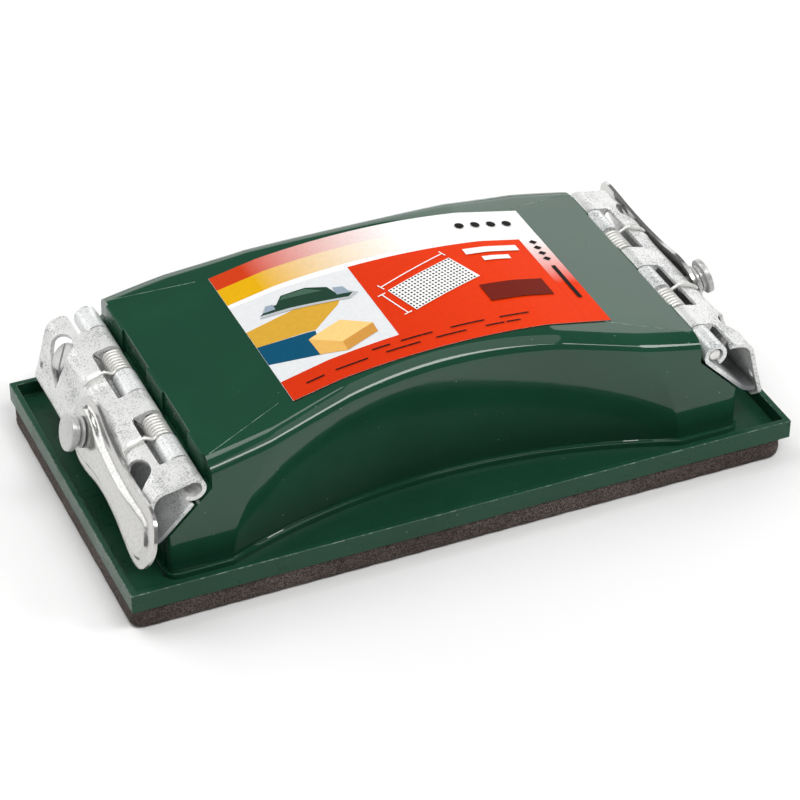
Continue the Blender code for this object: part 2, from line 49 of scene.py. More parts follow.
# Base
HALF_LENGTH = 82.5
HALF_WIDTH = 43.5
FOAM_TOP = 5.45
FOAM_INSET = 1.0
FOAM_SHIFT_X, FOAM_SHIFT_Y = -0.95, -0.6     # the slab is glued on a little off centre
RIM_Z = 10.4
SOLE_Z = 5.5
FLOOR_Z = 6.9
RIM_WALL = 1.5

# Handle
WALL_END = 71.0
WALL_HALF_WIDTH = 36.7
END_WALL_X = 60.5
SHOULDER_SUM = 89.3             # the sloped shoulder is the line X + Z = this
CROWN_Z = 44.0
BREAK_X = 26.0
BREAK_Z = 42.25
BREAK_SOFT = 1.5
END_TOP_Z = 34.9
TOP_HALF_WIDTH = 32.9
TOP_WAIST = 5.4
EDGE_DROP_END = 1.3
EDGE_DROP_MID = 2.1
SCOOP_DEPTH = 10.9
SCOOP_REACH = 56.0
SCOOP_LEAN = 11.0
SCOOP_BLEND = 1.5
WAIST_KINK = 0.42
FLANGE = 1.1
FOOT_Z = 6.93
FLANGE_Z = 8.2
END_FILLET, FLANGE_ROUND = 0.7, 3.0
FACET = 0.035                   # slope of the top's side facets
CREASE_X, CREASE_Y, CREASE_SPREAD = 40.0, 26.0, 6.9
BAND_ROUND = (2.0, 2.9)         # how far the rounding under the edge band reaches down and up
EDGE_ROUND = (0.8, 1.3)         # how far the rounding over the edge band reaches down and inwards
TOP_OF_WALL = 0.89              # the last level of the plain wall

# Clamp
PIN_X, PIN_Z = 64.6, 29.5
CURL_RADIUS = 2.4
SHEET = 1.0
HALF_CLAMP = 36.4
PITCH = 2.0 * HALF_CLAMP / 8
CLEAR = 0.15
JAW_LIFT = 78.0
FACE_TILT = 15.0
JAW_BEND = 3.6
JAW_FACE = 11.7
HOOK_RADIUS = 1.6
PIVOT_X, PIVOT_Z = 75.42, 23.57
SCREW_X, SCREW_Y, SCREW_Z = 69.05, 26.3, 22.36
WINDOW_X = 69.2
PLATE_SLOPE = 12.9
LIP_RADIUS = 5.0
CHAMFER = 0.14
SPRING_KNUCKLES = (2, 5)
LEG_INSET = 0.6
GROOVE_END_X = 73.4
PIVOT = Vector((PIVOT_X, 0.0, PIVOT_Z))
PIVOT_HOLE = 2.2
LEVER_BACK = SHEET / 2 + 0.35   # distances from the middle of the jaw's sheet, outwards
LEVER_SHEET = 0.95
LEVER_RISE, RIVET_GAP = 1.2, 0.3
WASHER_FOOT = LEVER_BACK + LEVER_SHEET + LEVER_RISE + RIVET_GAP
WASHER = 0.8
RIGHT_LEVER_RAISED = 3.0        # degrees; the right lever is stowed a little higher than the left


# Materials

def srgb(red, green, blue):
    """Linear colour from 0-255 display values."""
    return tuple((value / 255.0) ** 2.2 for value in (red, green, blue))


class Look:
    """A Principled material and short ways to add procedural nodes to it."""

    def __init__(self, name, colour, roughness, metallic=0.0):
        self.made = bpy.data.materials.new(name)
        self.made.use_nodes = True
        self.made.diffuse_color = (*colour, 1.0)
        self.tree = self.made.node_tree
        self.shader = self.tree.nodes["Principled BSDF"]
        self.colour(colour)
        self.roughness(roughness)
        self.shader.inputs["Metallic"].default_value = metallic
        self.place = self.node("ShaderNodeTexCoord").outputs["Object"]

    def give(self, socket, value):
        """Feed an input with a number, a colour or another node's output."""
        if isinstance(value, bpy.types.NodeSocket):
            self.tree.links.new(value, socket)
        elif isinstance(value, tuple) and socket.type == "RGBA":
            socket.default_value = (*value, 1.0)
        elif value is not None:
            socket.default_value = value

    def node(self, kind, inputs=(), **settings):
        made = self.tree.nodes.new(kind)
        for key, value in settings.items():
            setattr(made, key, value)
        for key, value in dict(inputs).items():
            self.give(made.inputs[key], value)
        return made

    def stretched(self, scale, turn=0.0):
        inputs = {"Vector": self.place, "Scale": scale, "Rotation": (0.0, 0.0, turn)}
        return self.node("ShaderNodeMapping", inputs).outputs["Vector"]

    def noise(self, scale, detail=3.0, vector=None, rough=0.55):
        inputs = {"Vector": vector or self.place, "Scale": scale, "Detail": detail, "Roughness": rough}
        return self.node("ShaderNodeTexNoise", inputs).outputs["Fac"]

    def specks(self, scale, radius, share):
        """Small round dots: 1 inside a dot, on the given share of cells."""
        cells = self.node("ShaderNodeTexVoronoi", {"Vector": self.place, "Scale": scale})
        pick = self.node("ShaderNodeSeparateColor", {"Color": cells.outputs["Color"]})
        inside = self.math("LESS_THAN", cells.outputs["Distance"], radius)
        return self.math("MULTIPLY", inside, self.math("LESS_THAN", pick.outputs["Red"], share))

    def math(self, operation, first, second, clamp=False):
        made = self.node("ShaderNodeMath", {0: first, 1: second}, operation=operation, use_clamp=clamp)
        return made.outputs["Value"]

    def ramp(self, source, stops):
        made = self.node("ShaderNodeValToRGB", {"Fac": source})
        elements = made.color_ramp.elements
        while len(elements) < len(stops):
            elements.new(0.5)
        for element, (position, colour) in zip(elements, stops):
            element.position = position
            element.color = (*colour, 1.0)
        return made.outputs["Color"]

    def span(self, source, low, high, out_low=0.0, out_high=1.0):
        """A value's range from low to high, stretched to another range and clamped there."""
        inputs = {"Value": source, "From Min": low, "From Max": high, "To Min": out_low, "To Max": out_high}
        return self.node("ShaderNodeMapRange", inputs).outputs["Result"]

    def mix(self, factor, first, second, blend="MIX"):
        inputs = {0: factor, 6: first, 7: second}       # the Mix node's colour sockets
        return self.node("ShaderNodeMix", inputs, data_type="RGBA", blend_type=blend).outputs[2]

    def colour(self, source):
        self.give(self.shader.inputs["Base Color"], source)

    def roughness(self, source):
        self.give(self.shader.inputs["Roughness"], source)

    def specular(self, level):
        self.shader.inputs["Specular IOR Level"].default_value = level

    def bump(self, height, strength, distance):
        made = self.node("ShaderNodeBump", {"Height": height, "Strength": strength, "Distance": distance})
        self.give(self.shader.inputs["Normal"], made.outputs["Normal"])

    def axis(self, name):
        return self.node("ShaderNodeSeparateXYZ", {"Vector": self.place}).outputs[name]


def tinted(colour, share):
    """A colour made darker or lighter by a share, never past full brightness."""
    return tuple(min(1.0, share * channel) for channel in colour)


GREEN = (0.0112, 0.0620, 0.0338)
SCUFF_AND_EDGE_SHEEN = (0.20, 0.27, 0.23)


def green_plastic(name, gloss, shine, edge_wear_and_highlight=False):
    """Glossy dark green moulding with faint clouding, dust specks and hairline scratches."""
    look = Look(name, GREEN, gloss)
    look.shader.inputs["IOR"].default_value = 1.5
    look.specular(shine)
    base = look.ramp(look.noise(38.0, 4.0), ((0.3, tinted(GREEN, 0.90)), (0.7, tinted(GREEN, 1.12))))
    dust = look.math("MAXIMUM", look.specks(230.0, 0.05, 0.30), look.specks(560.0, 0.09, 0.05))
    across = look.noise(1.0, 2.0, look.stretched((34.0, 1500.0, 34.0), 0.5))
    lengthwise = look.noise(1.0, 2.0, look.stretched((1300.0, 30.0, 30.0), 0.35))
    scratches = look.math("MAXIMUM", look.span(across, 0.72, 0.80), look.span(lengthwise, 0.73, 0.81), True)
    patch = look.span(look.noise(24.0, 1.0), 0.52, 0.62)
    scratches = look.math("MULTIPLY", scratches, patch, True)
    marks_and_edge_sheen = look.math("MAXIMUM", look.math("MULTIPLY", dust, 0.55), look.math("MULTIPLY", scratches, 0.22))
    # Optional thin band just under the rim's top edge: pale chips of wear, over a faint unbroken lighter line
    # that is a painted edge highlight.
    if edge_wear_and_highlight:
        above = look.span(look.axis("Z"), (RIM_Z - 0.26) * MM, (RIM_Z - 0.18) * MM)
        below = look.span(look.axis("Z"), (RIM_Z - 0.06) * MM, (RIM_Z - 0.02) * MM, 1.0, 0.0)
        chips_and_sheen = look.span(look.noise(700.0, 4.0), 0.54, 0.60, 0.16, 0.85)
        marks_and_edge_sheen = look.math("MAXIMUM", marks_and_edge_sheen, look.math("MULTIPLY", look.math("MULTIPLY", above, below), chips_and_sheen))
    look.colour(look.mix(marks_and_edge_sheen, base, SCUFF_AND_EDGE_SHEEN))
    rough = look.span(look.noise(160.0, 3.0), 0.3, 0.7, 0.8 * gloss, 1.25 * gloss)
    look.roughness(look.math("ADD", rough, look.math("MULTIPLY", marks_and_edge_sheen, 0.10)))
    look.bump(look.noise(520.0, 3.0), 0.03, 0.2 * MM)
    return look.made


def zinc(name, low, high, grain=2300.0, rough=(0.24, 0.40), shaded_below=None):
    """Zinc-plated sheet: fine mottling over slow clouding, and painted shade darkening it below a height if
    one is given.
    """
    look = Look(name, high, rough[0], 0.25)
    fine = look.noise(grain, 5.0, rough=0.7)
    slow = look.noise(150.0, 3.0)
    both = look.math("ADD", look.math("MULTIPLY", fine, 0.75), look.math("MULTIPLY", slow, 0.25))
    tone = look.ramp(both, ((0.40, low), (0.50, high), (0.70, tinted(high, 1.12))))
    if shaded_below is not None:
        # painted shade: the tone darkens below this height, standing in for the shadow under the jaw
        height = look.span(look.axis("Z"), (shaded_below - 3.5) * MM, (shaded_below + 3.5) * MM)
        tone = look.mix(height, tinted(low, 0.45), tone)
    look.colour(tone)
    look.roughness(look.span(fine, 0.3, 0.7, rough[1], rough[0]))
    look.bump(fine, 0.12, 0.08 * MM)
    return look.made


def brushed(name, colour, roughness, direction):
    """Bright plated steel with faint drawing lines along one axis."""
    look = Look(name, colour, roughness, 0.85)
    lines = look.noise(1.0, 3.0, look.stretched(direction))
    fine = look.noise(1700.0, 4.0)
    both = look.math("ADD", look.math("MULTIPLY", lines, 0.5), look.math("MULTIPLY", fine, 0.5))
    look.colour(look.ramp(both, ((0.33, tinted(colour, 0.70)), (0.55, colour))))
    look.roughness(look.span(lines, 0.3, 0.7, roughness - 0.06, roughness + 0.10))
    look.bump(lines, 0.05, 0.06 * MM)
    return look.made


def spring_wire():
    """Bright drawn wire with slow, faint clouding."""
    look = Look("spring_wire", (0.86, 0.85, 0.82), 0.32, 0.40)
    slow = look.noise(120.0, 2.0)
    look.colour(look.ramp(slow, ((0.35, (0.74, 0.73, 0.70)), (0.6, (0.90, 0.89, 0.86)))))
    look.roughness(look.span(slow, 0.3, 0.7, 0.28, 0.38))
    return look.made


def foam_rubber():
    """Dark cellular rubber: tiny open cells with lighter and darker grains."""
    look = Look("foam_rubber", srgb(58, 50, 48), 0.95)
    grain = look.noise(3200.0, 4.0, rough=0.8)
    cells = look.node("ShaderNodeTexVoronoi", {"Vector": look.place, "Scale": 2100.0})
    base = look.ramp(grain, ((0.38, srgb(31, 25, 23)), (0.50, srgb(71, 62, 58)), (0.60, srgb(128, 117, 111))))
    slow = look.ramp(look.noise(60.0, 3.0), ((0.35, srgb(205, 196, 192)), (0.65, srgb(255, 252, 250))))
    look.colour(look.mix(1.0, base, slow, "MULTIPLY"))
    look.bump(look.math("ADD", cells.outputs["Distance"], grain), 0.55, 0.3 * MM)
    return look.made


def printed(name, colour, fade=None):
    """Printed, lightly varnished paper; fade is (axis, start mm, end mm, end colour)."""
    look = Look(name, colour, 0.5)
    look.specular(0.06)
    fibre = look.noise(900.0, 4.0)
    base = colour
    if fade:
        axis, start, end, target = fade
        base = look.mix(look.span(look.axis(axis), start * MM, end * MM), colour, target)
    shade = look.ramp(fibre, ((0.3, (0.93, 0.93, 0.93)), (0.7, (1.0, 1.0, 1.0))))
    look.colour(look.mix(1.0, base, shade, "MULTIPLY"))
    look.bump(fibre, 0.03, 0.1 * MM)
    return look.made


# Mesh building

def saved(work, name):
    """A new mesh from a bmesh, which is used up."""
    mesh = bpy.data.meshes.new(name)
    work.to_mesh(mesh)
    work.free()
    return mesh


def mesh_from(name, points, faces, unit=MM):
    """Mesh from millimetre points, faces turned outwards; a unit of 1 keeps it in millimetres."""
    work = bmesh.new()
    verts = [work.verts.new(Vector(point) * unit) for point in points]
    for face in faces:
        work.faces.new([verts[index] for index in face])
    bmesh.ops.recalc_face_normals(work, faces=work.faces)
    return saved(work, name)


def cleaned(mesh, gap, sliver):
    """The mesh with points closer than gap mm joined and what is thinner than sliver mm removed."""
    work = bmesh.new()
    work.from_mesh(mesh)
    bmesh.ops.remove_doubles(work, verts=work.verts, dist=gap * MM)
    bmesh.ops.dissolve_degenerate(work, dist=sliver * MM, edges=work.edges)
    bmesh.ops.recalc_face_normals(work, faces=work.faces)
    return saved(work, mesh.name)


def smooth(value, low, high):
    """0 at low and 1 at high, eased at both ends."""
    t = min(max((value - low) / (high - low), 0.0), 1.0)
    return t * t * (3.0 - 2.0 * t)


def arc_points(x, y, radius, start, end, steps):
    """Points on an arc between two angles in degrees."""
    angles = [math.radians(start + (end - start) * step / steps) for step in range(steps + 1)]
    return [(x + radius * math.cos(angle), y + radius * math.sin(angle)) for angle in angles]


def disc(x, y, radius, corners=16):
    return arc_points(x, y, radius, 0.0, 360.0, corners)[:-1]


def loft(name, rings, closed=False, unit=MM):
    """Rings of points joined in order, with flat caps or, if closed, the last joined to the first."""
    count = len(rings[0])
    points = [point for ring in rings for point in ring]
    faces = []
    for ring in range(len(rings) if closed else len(rings) - 1):
        low = ring * count
        high = (ring + 1) % len(rings) * count
        for index in range(count):
            after = (index + 1) % count
            faces.append([low + index, low + after, high + after, high + index])
    if not closed:
        faces.extend((range(count), range(len(points) - count, len(points))))
    return mesh_from(name, points, faces, unit)


def turned(name, origin, axis, profile, segments=48, closed=False):
    """Solid of revolution from (distance along the axis, radius) pairs; a closed profile leaves a bore."""
    direction = Vector(axis).normalized()
    side = direction.orthogonal().normalized()
    other = direction.cross(side)
    rings = []
    for distance, radius in profile:
        centre = Vector(origin) + direction * distance
        rings.append([centre + side * a + other * b for a, b in disc(0.0, 0.0, radius, segments)])
    return loft(name, rings, closed)


def tube(name, path, radius, sides=10):
    """Round wire along a path of points, with rounded ends."""
    points = [Vector(point) for point in path]
    last = len(points) - 1
    stops = [(0, 0.45, -0.9), (0, 0.85, -0.5)]
    stops.extend((index, 1.0, 0.0) for index in range(len(points)))
    stops.extend(((last, 0.85, 0.5), (last, 0.45, 0.9)))
    rings = []
    for index, scale, push in stops:
        tangent = (points[min(index + 1, last)] - points[max(index - 1, 0)]).normalized()
        side = (Vector((0.0, 1.0, 0.0)) - tangent * tangent.y).normalized()
        other = tangent.cross(side)
        centre = points[index] + tangent * push * radius
        rings.append([centre + side * a + other * b for a, b in disc(0.0, 0.0, radius * scale, sides)])
    return loft(name, rings)


def added(name, data):
    """A new object in the scene."""
    made = bpy.data.objects.new(name, data)
    bpy.context.scene.collection.objects.link(made)
    return made


def boolean(mesh, cutter):
    """mesh less cutter, by one exact Boolean; both inputs are used up."""
    target, tool = added("target", mesh), added("tool", cutter)
    step = target.modifiers.new("cut", "BOOLEAN")
    step.object = tool
    step.operation = "DIFFERENCE"
    step.solver = "EXACT"
    bpy.context.view_layer.update()
    result = bpy.data.meshes.new_from_object(target.evaluated_get(bpy.context.evaluated_depsgraph_get()))
    for item in (target, tool):
        bpy.data.objects.remove(item, do_unlink=True)
    return result


def merged(meshes):
    """One mesh holding all of these."""
    work = bmesh.new()
    for mesh in meshes:
        work.from_mesh(mesh)
    return saved(work, "merged")


def finished(mesh, look, sharp=35.0):
    """Material, smooth shading and crisp edges."""
    mesh.materials.clear()
    mesh.materials.append(look)
    mesh.shade_smooth()
    mesh.set_sharp_from_angle(angle=math.radians(sharp))
    return mesh


def rounded(made, width, segments, method):
    """Give an object small radii on edges chosen by angle or by weight."""
    step = made.modifiers.new("edge", "BEVEL")
    step.width = width * MM
    step.segments = segments
    step.limit_method = method
    step.harden_normals = True
    return step


def piece(name, mesh, body, replaced=(), bevel=0.0):
    """Add a finished mesh as a named piece that rides on a CAD body."""
    made = added(name, mesh)
    if bevel:
        step = rounded(made, bevel, 3, "ANGLE")
        step.angle_limit = math.radians(38.0)
        step.use_clamp_overlap = False
    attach(made, body)
    if replaced:
        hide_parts(*replaced)
    return made


# Foam, tray

def rounded_ring(half_x, half_y, radius, z, step=1.0):
    """Evenly spaced points round a rectangle with round corners."""
    points = []
    for quarter, (sx, sy) in enumerate(((1, 1), (-1, 1), (-1, -1), (1, -1))):
        x, y, start = sx * (half_x - radius), sy * (half_y - radius), 90.0 * quarter
        points.extend(arc_points(x, y, radius, start, start + 90.0, 6))
    dense = []
    for (x, y), (nx, ny) in zip(points, points[1:] + points[:1]):
        parts = max(1, int(round(math.hypot(nx - x, ny - y) / step)))
        dense.extend((x + (nx - x) * part / parts, y + (ny - y) * part / parts, z) for part in range(parts))
    return dense


def foam_pad(look):
    """Foam slab: rounded lower edge, slightly uneven cut sides."""
    half_x, half_y = HALF_LENGTH - FOAM_INSET, HALF_WIDTH - FOAM_INSET
    rings = []
    for z, inset in ((0.0, 1.3), (0.12, 0.75), (0.4, 0.35), (0.9, 0.08), (1.6, 0.0), (2.6, 0.05),
                     (3.6, 0.08), (4.6, 0.03), (5.1, 0.0), (FOAM_TOP, 0.12)):
        ring = []
        for x, y, height in rounded_ring(half_x, half_y, 3.0, z):
            x += FOAM_SHIFT_X * (0.35 if x > 0.0 else 1.0)
            y += FOAM_SHIFT_Y if y < 0.0 else 0.0
            wave = 0.07 * math.sin(0.9 * x + 1.7 * z) * math.cos(0.7 * y - z) - 0.03
            push_x = -math.copysign(inset - wave, x) if abs(x) > 0.955 * half_x else 0.0
            push_y = -math.copysign(inset - wave, y) if abs(y) > 0.92 * half_y else 0.0
            ring.append((x + push_x, y + push_y, height))
        rings.append(ring)
    made = piece("foam_slab", finished(loft("foam_slab", rings), look, 60.0), "block", ("foam_pad",))


def base_tray(look):
    """Sole and rim as one moulding, with small radii on every edge."""
    inner_x, inner_y = HALF_LENGTH - RIM_WALL, HALF_WIDTH - RIM_WALL
    corners = ((1, 1), (-1, 1), (-1, -1), (1, -1))
    rings = [[(half_x * sx, half_y * sy, z) for sx, sy in corners]
             for half_x, half_y, z in ((HALF_LENGTH, HALF_WIDTH, SOLE_Z), (HALF_LENGTH, HALF_WIDTH, RIM_Z),
                                       (inner_x, inner_y, RIM_Z), (inner_x - 0.15, inner_y - 0.15, FLOOR_Z))]
    mesh = finished(loft("tray", rings), look, 30.0)
    piece("tray_moulding", mesh, "block", ("base_tray",), 0.28)


# Handle

def waist(x):
    """1 at mid-length, falling to 0 at the end walls, with a slight kink where the scoop ends."""
    smooth_part = 0.5 + 0.5 * math.cos(math.pi * min(abs(x) / END_WALL_X, 1.0))
    kinked_part = max(0.0, 1.0 - (x / (SCOOP_REACH - SCOOP_LEAN)) ** 2)
    return WAIST_KINK * kinked_part + (1.0 - WAIST_KINK) * smooth_part


def top_height(x):
    """Height of the top face: a low crown between two straight slopes, softly joined."""
    distance = abs(x)
    slope = (BREAK_Z - END_TOP_Z) / (END_WALL_X - BREAK_X)
    crown = CROWN_Z - (CROWN_Z - BREAK_Z) * (distance / BREAK_X) ** 2
    line = BREAK_Z - slope * (distance - BREAK_X)
    return crown + (line - crown) * smooth(distance, BREAK_X - BREAK_SOFT, BREAK_X + BREAK_SOFT)


def wall_half_width(x, rise):
    """Half-width of the side wall; rise runs from 0 at the foot to 1 at the edge band."""
    reach = SCOOP_REACH - SCOOP_LEAN * rise * rise
    inside = 1.0 - (x / reach) ** 2
    low = SCOOP_DEPTH * 0.5 * (inside + math.sqrt(inside * inside + 0.00002))
    blend = rise ** SCOOP_BLEND
    return WALL_HALF_WIDTH - (1.0 - blend) * low - blend * TOP_WAIST * waist(x)


def crease_y(x):
    """Where the top's side facets begin: beside the label, running out to the end corners."""
    return CREASE_Y + CREASE_SPREAD * max(0.0, (abs(x) - CREASE_X) / (END_WALL_X - CREASE_X))


def curve_between(start, corner, end, steps):
    """Points of a quadratic curve that rounds a corner."""
    points = []
    for step in range(steps + 1):
        t = step / steps
        points.append(tuple((1 - t) ** 2 * a + 2 * t * (1 - t) * b + t * t * c
                            for a, b, c in zip(start, corner, end)))
    return points


def along(start, towards, distance):
    """The point a distance from start towards another point."""
    step = Vector(towards) - Vector(start)
    return tuple(Vector(start) + step.normalized() * distance)


def drawn_in(distance, end, radius):
    """How far a corner of this radius, ending at end, draws a wall in at a distance along X."""
    past = min(max(0.0, distance - (end - radius)), radius)
    return radius - math.sqrt(max(0.0, radius ** 2 - past ** 2))


def half_section(x):
    """Profile of the handle at x from the foot flange up to the middle of the top."""
    top_z = top_height(x)
    edge_drop = EDGE_DROP_END + (EDGE_DROP_MID - EDGE_DROP_END) * waist(x)
    edge_z = top_z - edge_drop
    top_half = TOP_HALF_WIDTH - TOP_WAIST * waist(x)

    def wall(rise):
        return wall_half_width(x, rise), FOOT_Z + (edge_z - FOOT_Z) * rise

    foot = wall(0.0)[0]
    tuck = drawn_in(abs(x), WALL_END, END_FILLET)
    flange = foot + FLANGE - drawn_in(abs(x), WALL_END + FLANGE, FLANGE_ROUND)
    points = [(flange, FOOT_Z), (flange, FLANGE_Z - 0.2), (flange - 0.06, FLANGE_Z - 0.06),
              (flange - 0.2, FLANGE_Z), (min(foot - tuck + 0.2, flange - 0.4), FLANGE_Z)]
    for rise in (0.047, 0.06, 0.09, 0.14, 0.2, 0.28, 0.36, 0.44, 0.52, 0.6, 0.68, 0.76, 0.83, TOP_OF_WALL):
        y, z = wall(rise)
        points.append((y - tuck, z))
    corner_low = (wall(1.0)[0] - tuck, edge_z + 0.1)
    crease = crease_y(x)
    corner_top = (top_half, top_z - FACET * (top_half - crease))
    start = along(corner_low, points[-1], BAND_ROUND[0])
    middle = along(corner_low, corner_top, BAND_ROUND[1])
    points.extend(curve_between(start, corner_low, middle, 10))
    approach = along(corner_top, corner_low, EDGE_ROUND[0])
    leave_y = top_half - EDGE_ROUND[1]
    points.extend(curve_between(approach, corner_top, (leave_y, top_z - FACET * (leave_y - crease)), 5))
    for share in (0.35, 0.7):
        y = leave_y + (crease - leave_y) * share if leave_y > crease else leave_y - 0.5 * share
        points.append((y, top_z - FACET * max(0.0, y - crease)))
    inner = min(crease, leave_y - 0.6)
    return points + [(inner * share, top_z) for share in (1.0, 0.8, 0.6, 0.4, 0.2, 0.0)]


def sheared(x, share):
    """Where a station crosses a given level, so that one station runs along the scoop's crease."""
    reach = SCOOP_REACH - SCOOP_LEAN * share * share
    distance = abs(x)
    if distance >= END_WALL_X:
        return x
    if distance <= SCOOP_REACH:
        moved = distance * reach / SCOOP_REACH
    else:
        moved = reach + (distance - SCOOP_REACH) * (END_WALL_X - reach) / (END_WALL_X - SCOOP_REACH)
    return math.copysign(moved, x)


def level_shares(x):
    """How far up the wall each point of a section lies; eases back to 0 across the top."""
    section = half_section(x)
    top = top_height(x) - EDGE_DROP_MID
    widest = TOP_HALF_WIDTH - TOP_WAIST * waist(x)
    return [min(1.0, max(0.0, (z - FOOT_Z) / (top - FOOT_Z))) * min(1.0, (y / widest) ** 2)
            for y, z in section]


def handle_ring(x, ceiling):
    """One closed ring of the handle; its points lean along X to follow the crease."""
    half = []
    for index, share in enumerate(level_shares(x)):
        at = sheared(x, share)
        y, z = half_section(at)[index]
        half.append((at, y, min(z, ceiling)))
    return half + [(at, -y, z) for at, y, z in reversed(half[:-1])]


def handle_shell(look):
    """The arched handle with its sloped shoulders and foot flange."""
    arch = [float(x) for x in np.linspace(0.0, 54.0, 46)]
    arch.extend((55.0, 55.6, SCOOP_REACH, 56.3, 56.8, 57.5, 58.3, 59.2, 60.0, END_WALL_X))
    shoulder = (END_WALL_X, 61.2, 63.0, 65.0, 67.0, 69.0, 70.2, 70.5, 70.75, 70.92, WALL_END)
    tip = WALL_END + FLANGE
    side = [(x, CROWN_Z + 1.0) for x in arch]
    side.extend((x, SHOULDER_SUM - x) for x in shoulder)
    side.extend((x, FLANGE_Z) for x in (WALL_END, 71.5, 71.85, 72.02))
    side.extend(((tip - 0.02, FLANGE_Z - 0.2), (tip, FLANGE_Z - 0.5)))
    rings = [handle_ring(-x, ceiling) for x, ceiling in reversed(side[1:])]
    rings.extend(handle_ring(x, ceiling) for x, ceiling in side)
    body = finished(cleaned(loft("handle", rings), 0.002, 0.002), look, 28.0)
    soften(piece("handle_moulding", body, "block", ("handle_shell",)), 0.22)


def soften(made, width):
    """Small radius on the end walls' long edges, away from the corners."""
    work = bmesh.new()
    work.from_mesh(made.data)
    weight = work.edges.layers.float.new("bevel_weight_edge")
    for edge in work.edges:
        inner = all(abs(vertex.co.y) < 31.0 * MM and vertex.co.z > 20.0 * MM for vertex in edge.verts)
        if inner and len(edge.link_faces) == 2 and 40.0 < math.degrees(edge.calc_face_angle(0.0)) < 130.0:
            edge[weight] = 1.0
    work.to_mesh(made.data)
    work.free()
    rounded(made, width, 2, "WEIGHT")


def end_ribs(look):
    """Three shallow pads along the top of each end wall; the outer two run out at the corners."""
    stretches = (((-32.6, 0.1), (-31.2, 1.0), (-22.8, 1.0)), ((-6.5, 1.0), (3.7, 1.0)),
                 ((20.2, 1.0), (31.2, 1.0), (32.6, 0.1)))
    root_x, root_z = END_WALL_X - 0.6, 28.2
    ribs = []
    for turn in (1, -1):
        for stretch in stretches:
            rings = []
            for y, share in stretch:
                face = END_WALL_X + 0.55 * share
                top = END_TOP_Z - 1.2 * (1.0 - share)
                outline = ((root_x, root_z), (face, root_z), (face, top - 0.35),
                           (face - 0.15 * share, top - 0.14), (root_x, top + 0.1 * share))
                rings.append([(x * turn, -y * turn, z) for x, z in outline])
            ribs.append(loft("rib", rings))
    piece("end_wall_ribs", finished(merged(ribs), look, 30.0), "block", (), 0.15)


def crease_lines(look):
    """Fine raised mould lines from the label's corners out to the handle's end corners; their pale colour is
    a painted highlight along the crease.
    """
    meshes = []
    for sx, sy in ((1, 1), (1, -1), (-1, 1), (-1, -1)):
        rings = []
        for step in range(15):
            x = 40.5 + 19.0 * step / 14
            y, z = sy * crease_y(x), top_height(x) + 0.005
            rings.append([(sx * x, y + dy, z + dz) for dy, dz in ((-0.09, -0.06), (0.09, -0.06), (0.03, 0.03),
                                                                   (-0.03, 0.03))])
        meshes.append(loft("crease", rings))
    piece("crease_ridges_with_painted_highlight", finished(merged(meshes), look, 80.0), "block")


# Label

LABEL = (-37.6, 42.1, -26.9, 25.0)
INKS = {"white": (250, 250, 248), "pale": (226, 228, 230), "red": (206, 62, 22), "yellow": (228, 172, 2),
        "orange": (212, 52, 10), "orange_fade": (234, 60, 8), "ochre": (214, 164, 58), "blue": (4, 80, 110),
        "wood_top": (246, 206, 130), "wood_front": (232, 180, 96), "wood_side": (208, 148, 70),
        "green": (36, 66, 52), "green_light": (70, 100, 84), "grey": (150, 165, 180),
        "shadow": (186, 190, 192), "ink": (30, 26, 24), "brick_and_edge_shadow": (112, 30, 14)}
STATIONS = [LABEL[0] + (LABEL[1] - LABEL[0]) * step / 48 for step in range(49)]


def label_height(x):
    return top_height(x) + 0.03


def skewed(x, y):
    """The sticker's near edge isn't quite parallel to the block: it leans out towards -X."""
    lean = 0.9 * (x - 0.5 * (LABEL[0] + LABEL[1])) / (0.5 * (LABEL[1] - LABEL[0]))
    return y + lean * (LABEL[3] - y) / (LABEL[3] - LABEL[2])


def print_area(outline, lift):
    """A printed area: the part of the label inside a convex outline, following the bend."""
    work = bmesh.new()
    columns = []
    for x in STATIONS:
        z = label_height(x) + lift
        columns.append([work.verts.new((x * MM, y * MM, z * MM)) for y in (LABEL[2], LABEL[3])])
    for before, after in zip(columns, columns[1:]):
        work.faces.new((before[0], after[0], after[1], before[1]))
    corners = [Vector((*point, 0.0)) for point in outline]
    centre = sum(corners, Vector()) / len(corners)
    for a, b in zip(corners, corners[1:] + corners[:1]):
        normal = (b - a).cross(Vector((0.0, 0.0, 1.0)))
        if normal.dot(centre - a) > 0:
            normal.negate()
        bmesh.ops.bisect_plane(work, geom=[*work.verts, *work.edges, *work.faces], plane_co=a * MM,
                               plane_no=normal, clear_outer=True)
    for vertex in work.verts:
        vertex.co.y = skewed(vertex.co.x / MM, vertex.co.y / MM) * MM
    return saved(work, "print")


def rectangle(x0, x1, y0, y1):
    return [(x0, y0), (x1, y0), (x1, y1), (x0, y1)]


def stroke(a, b, width):
    """Outline of a straight line of a given width."""
    a, b = Vector(a), Vector(b)
    across = (b - a).orthogonal().normalized() * (width / 2)
    return [tuple(a + across), tuple(a - across), tuple(b - across), tuple(b + across)]


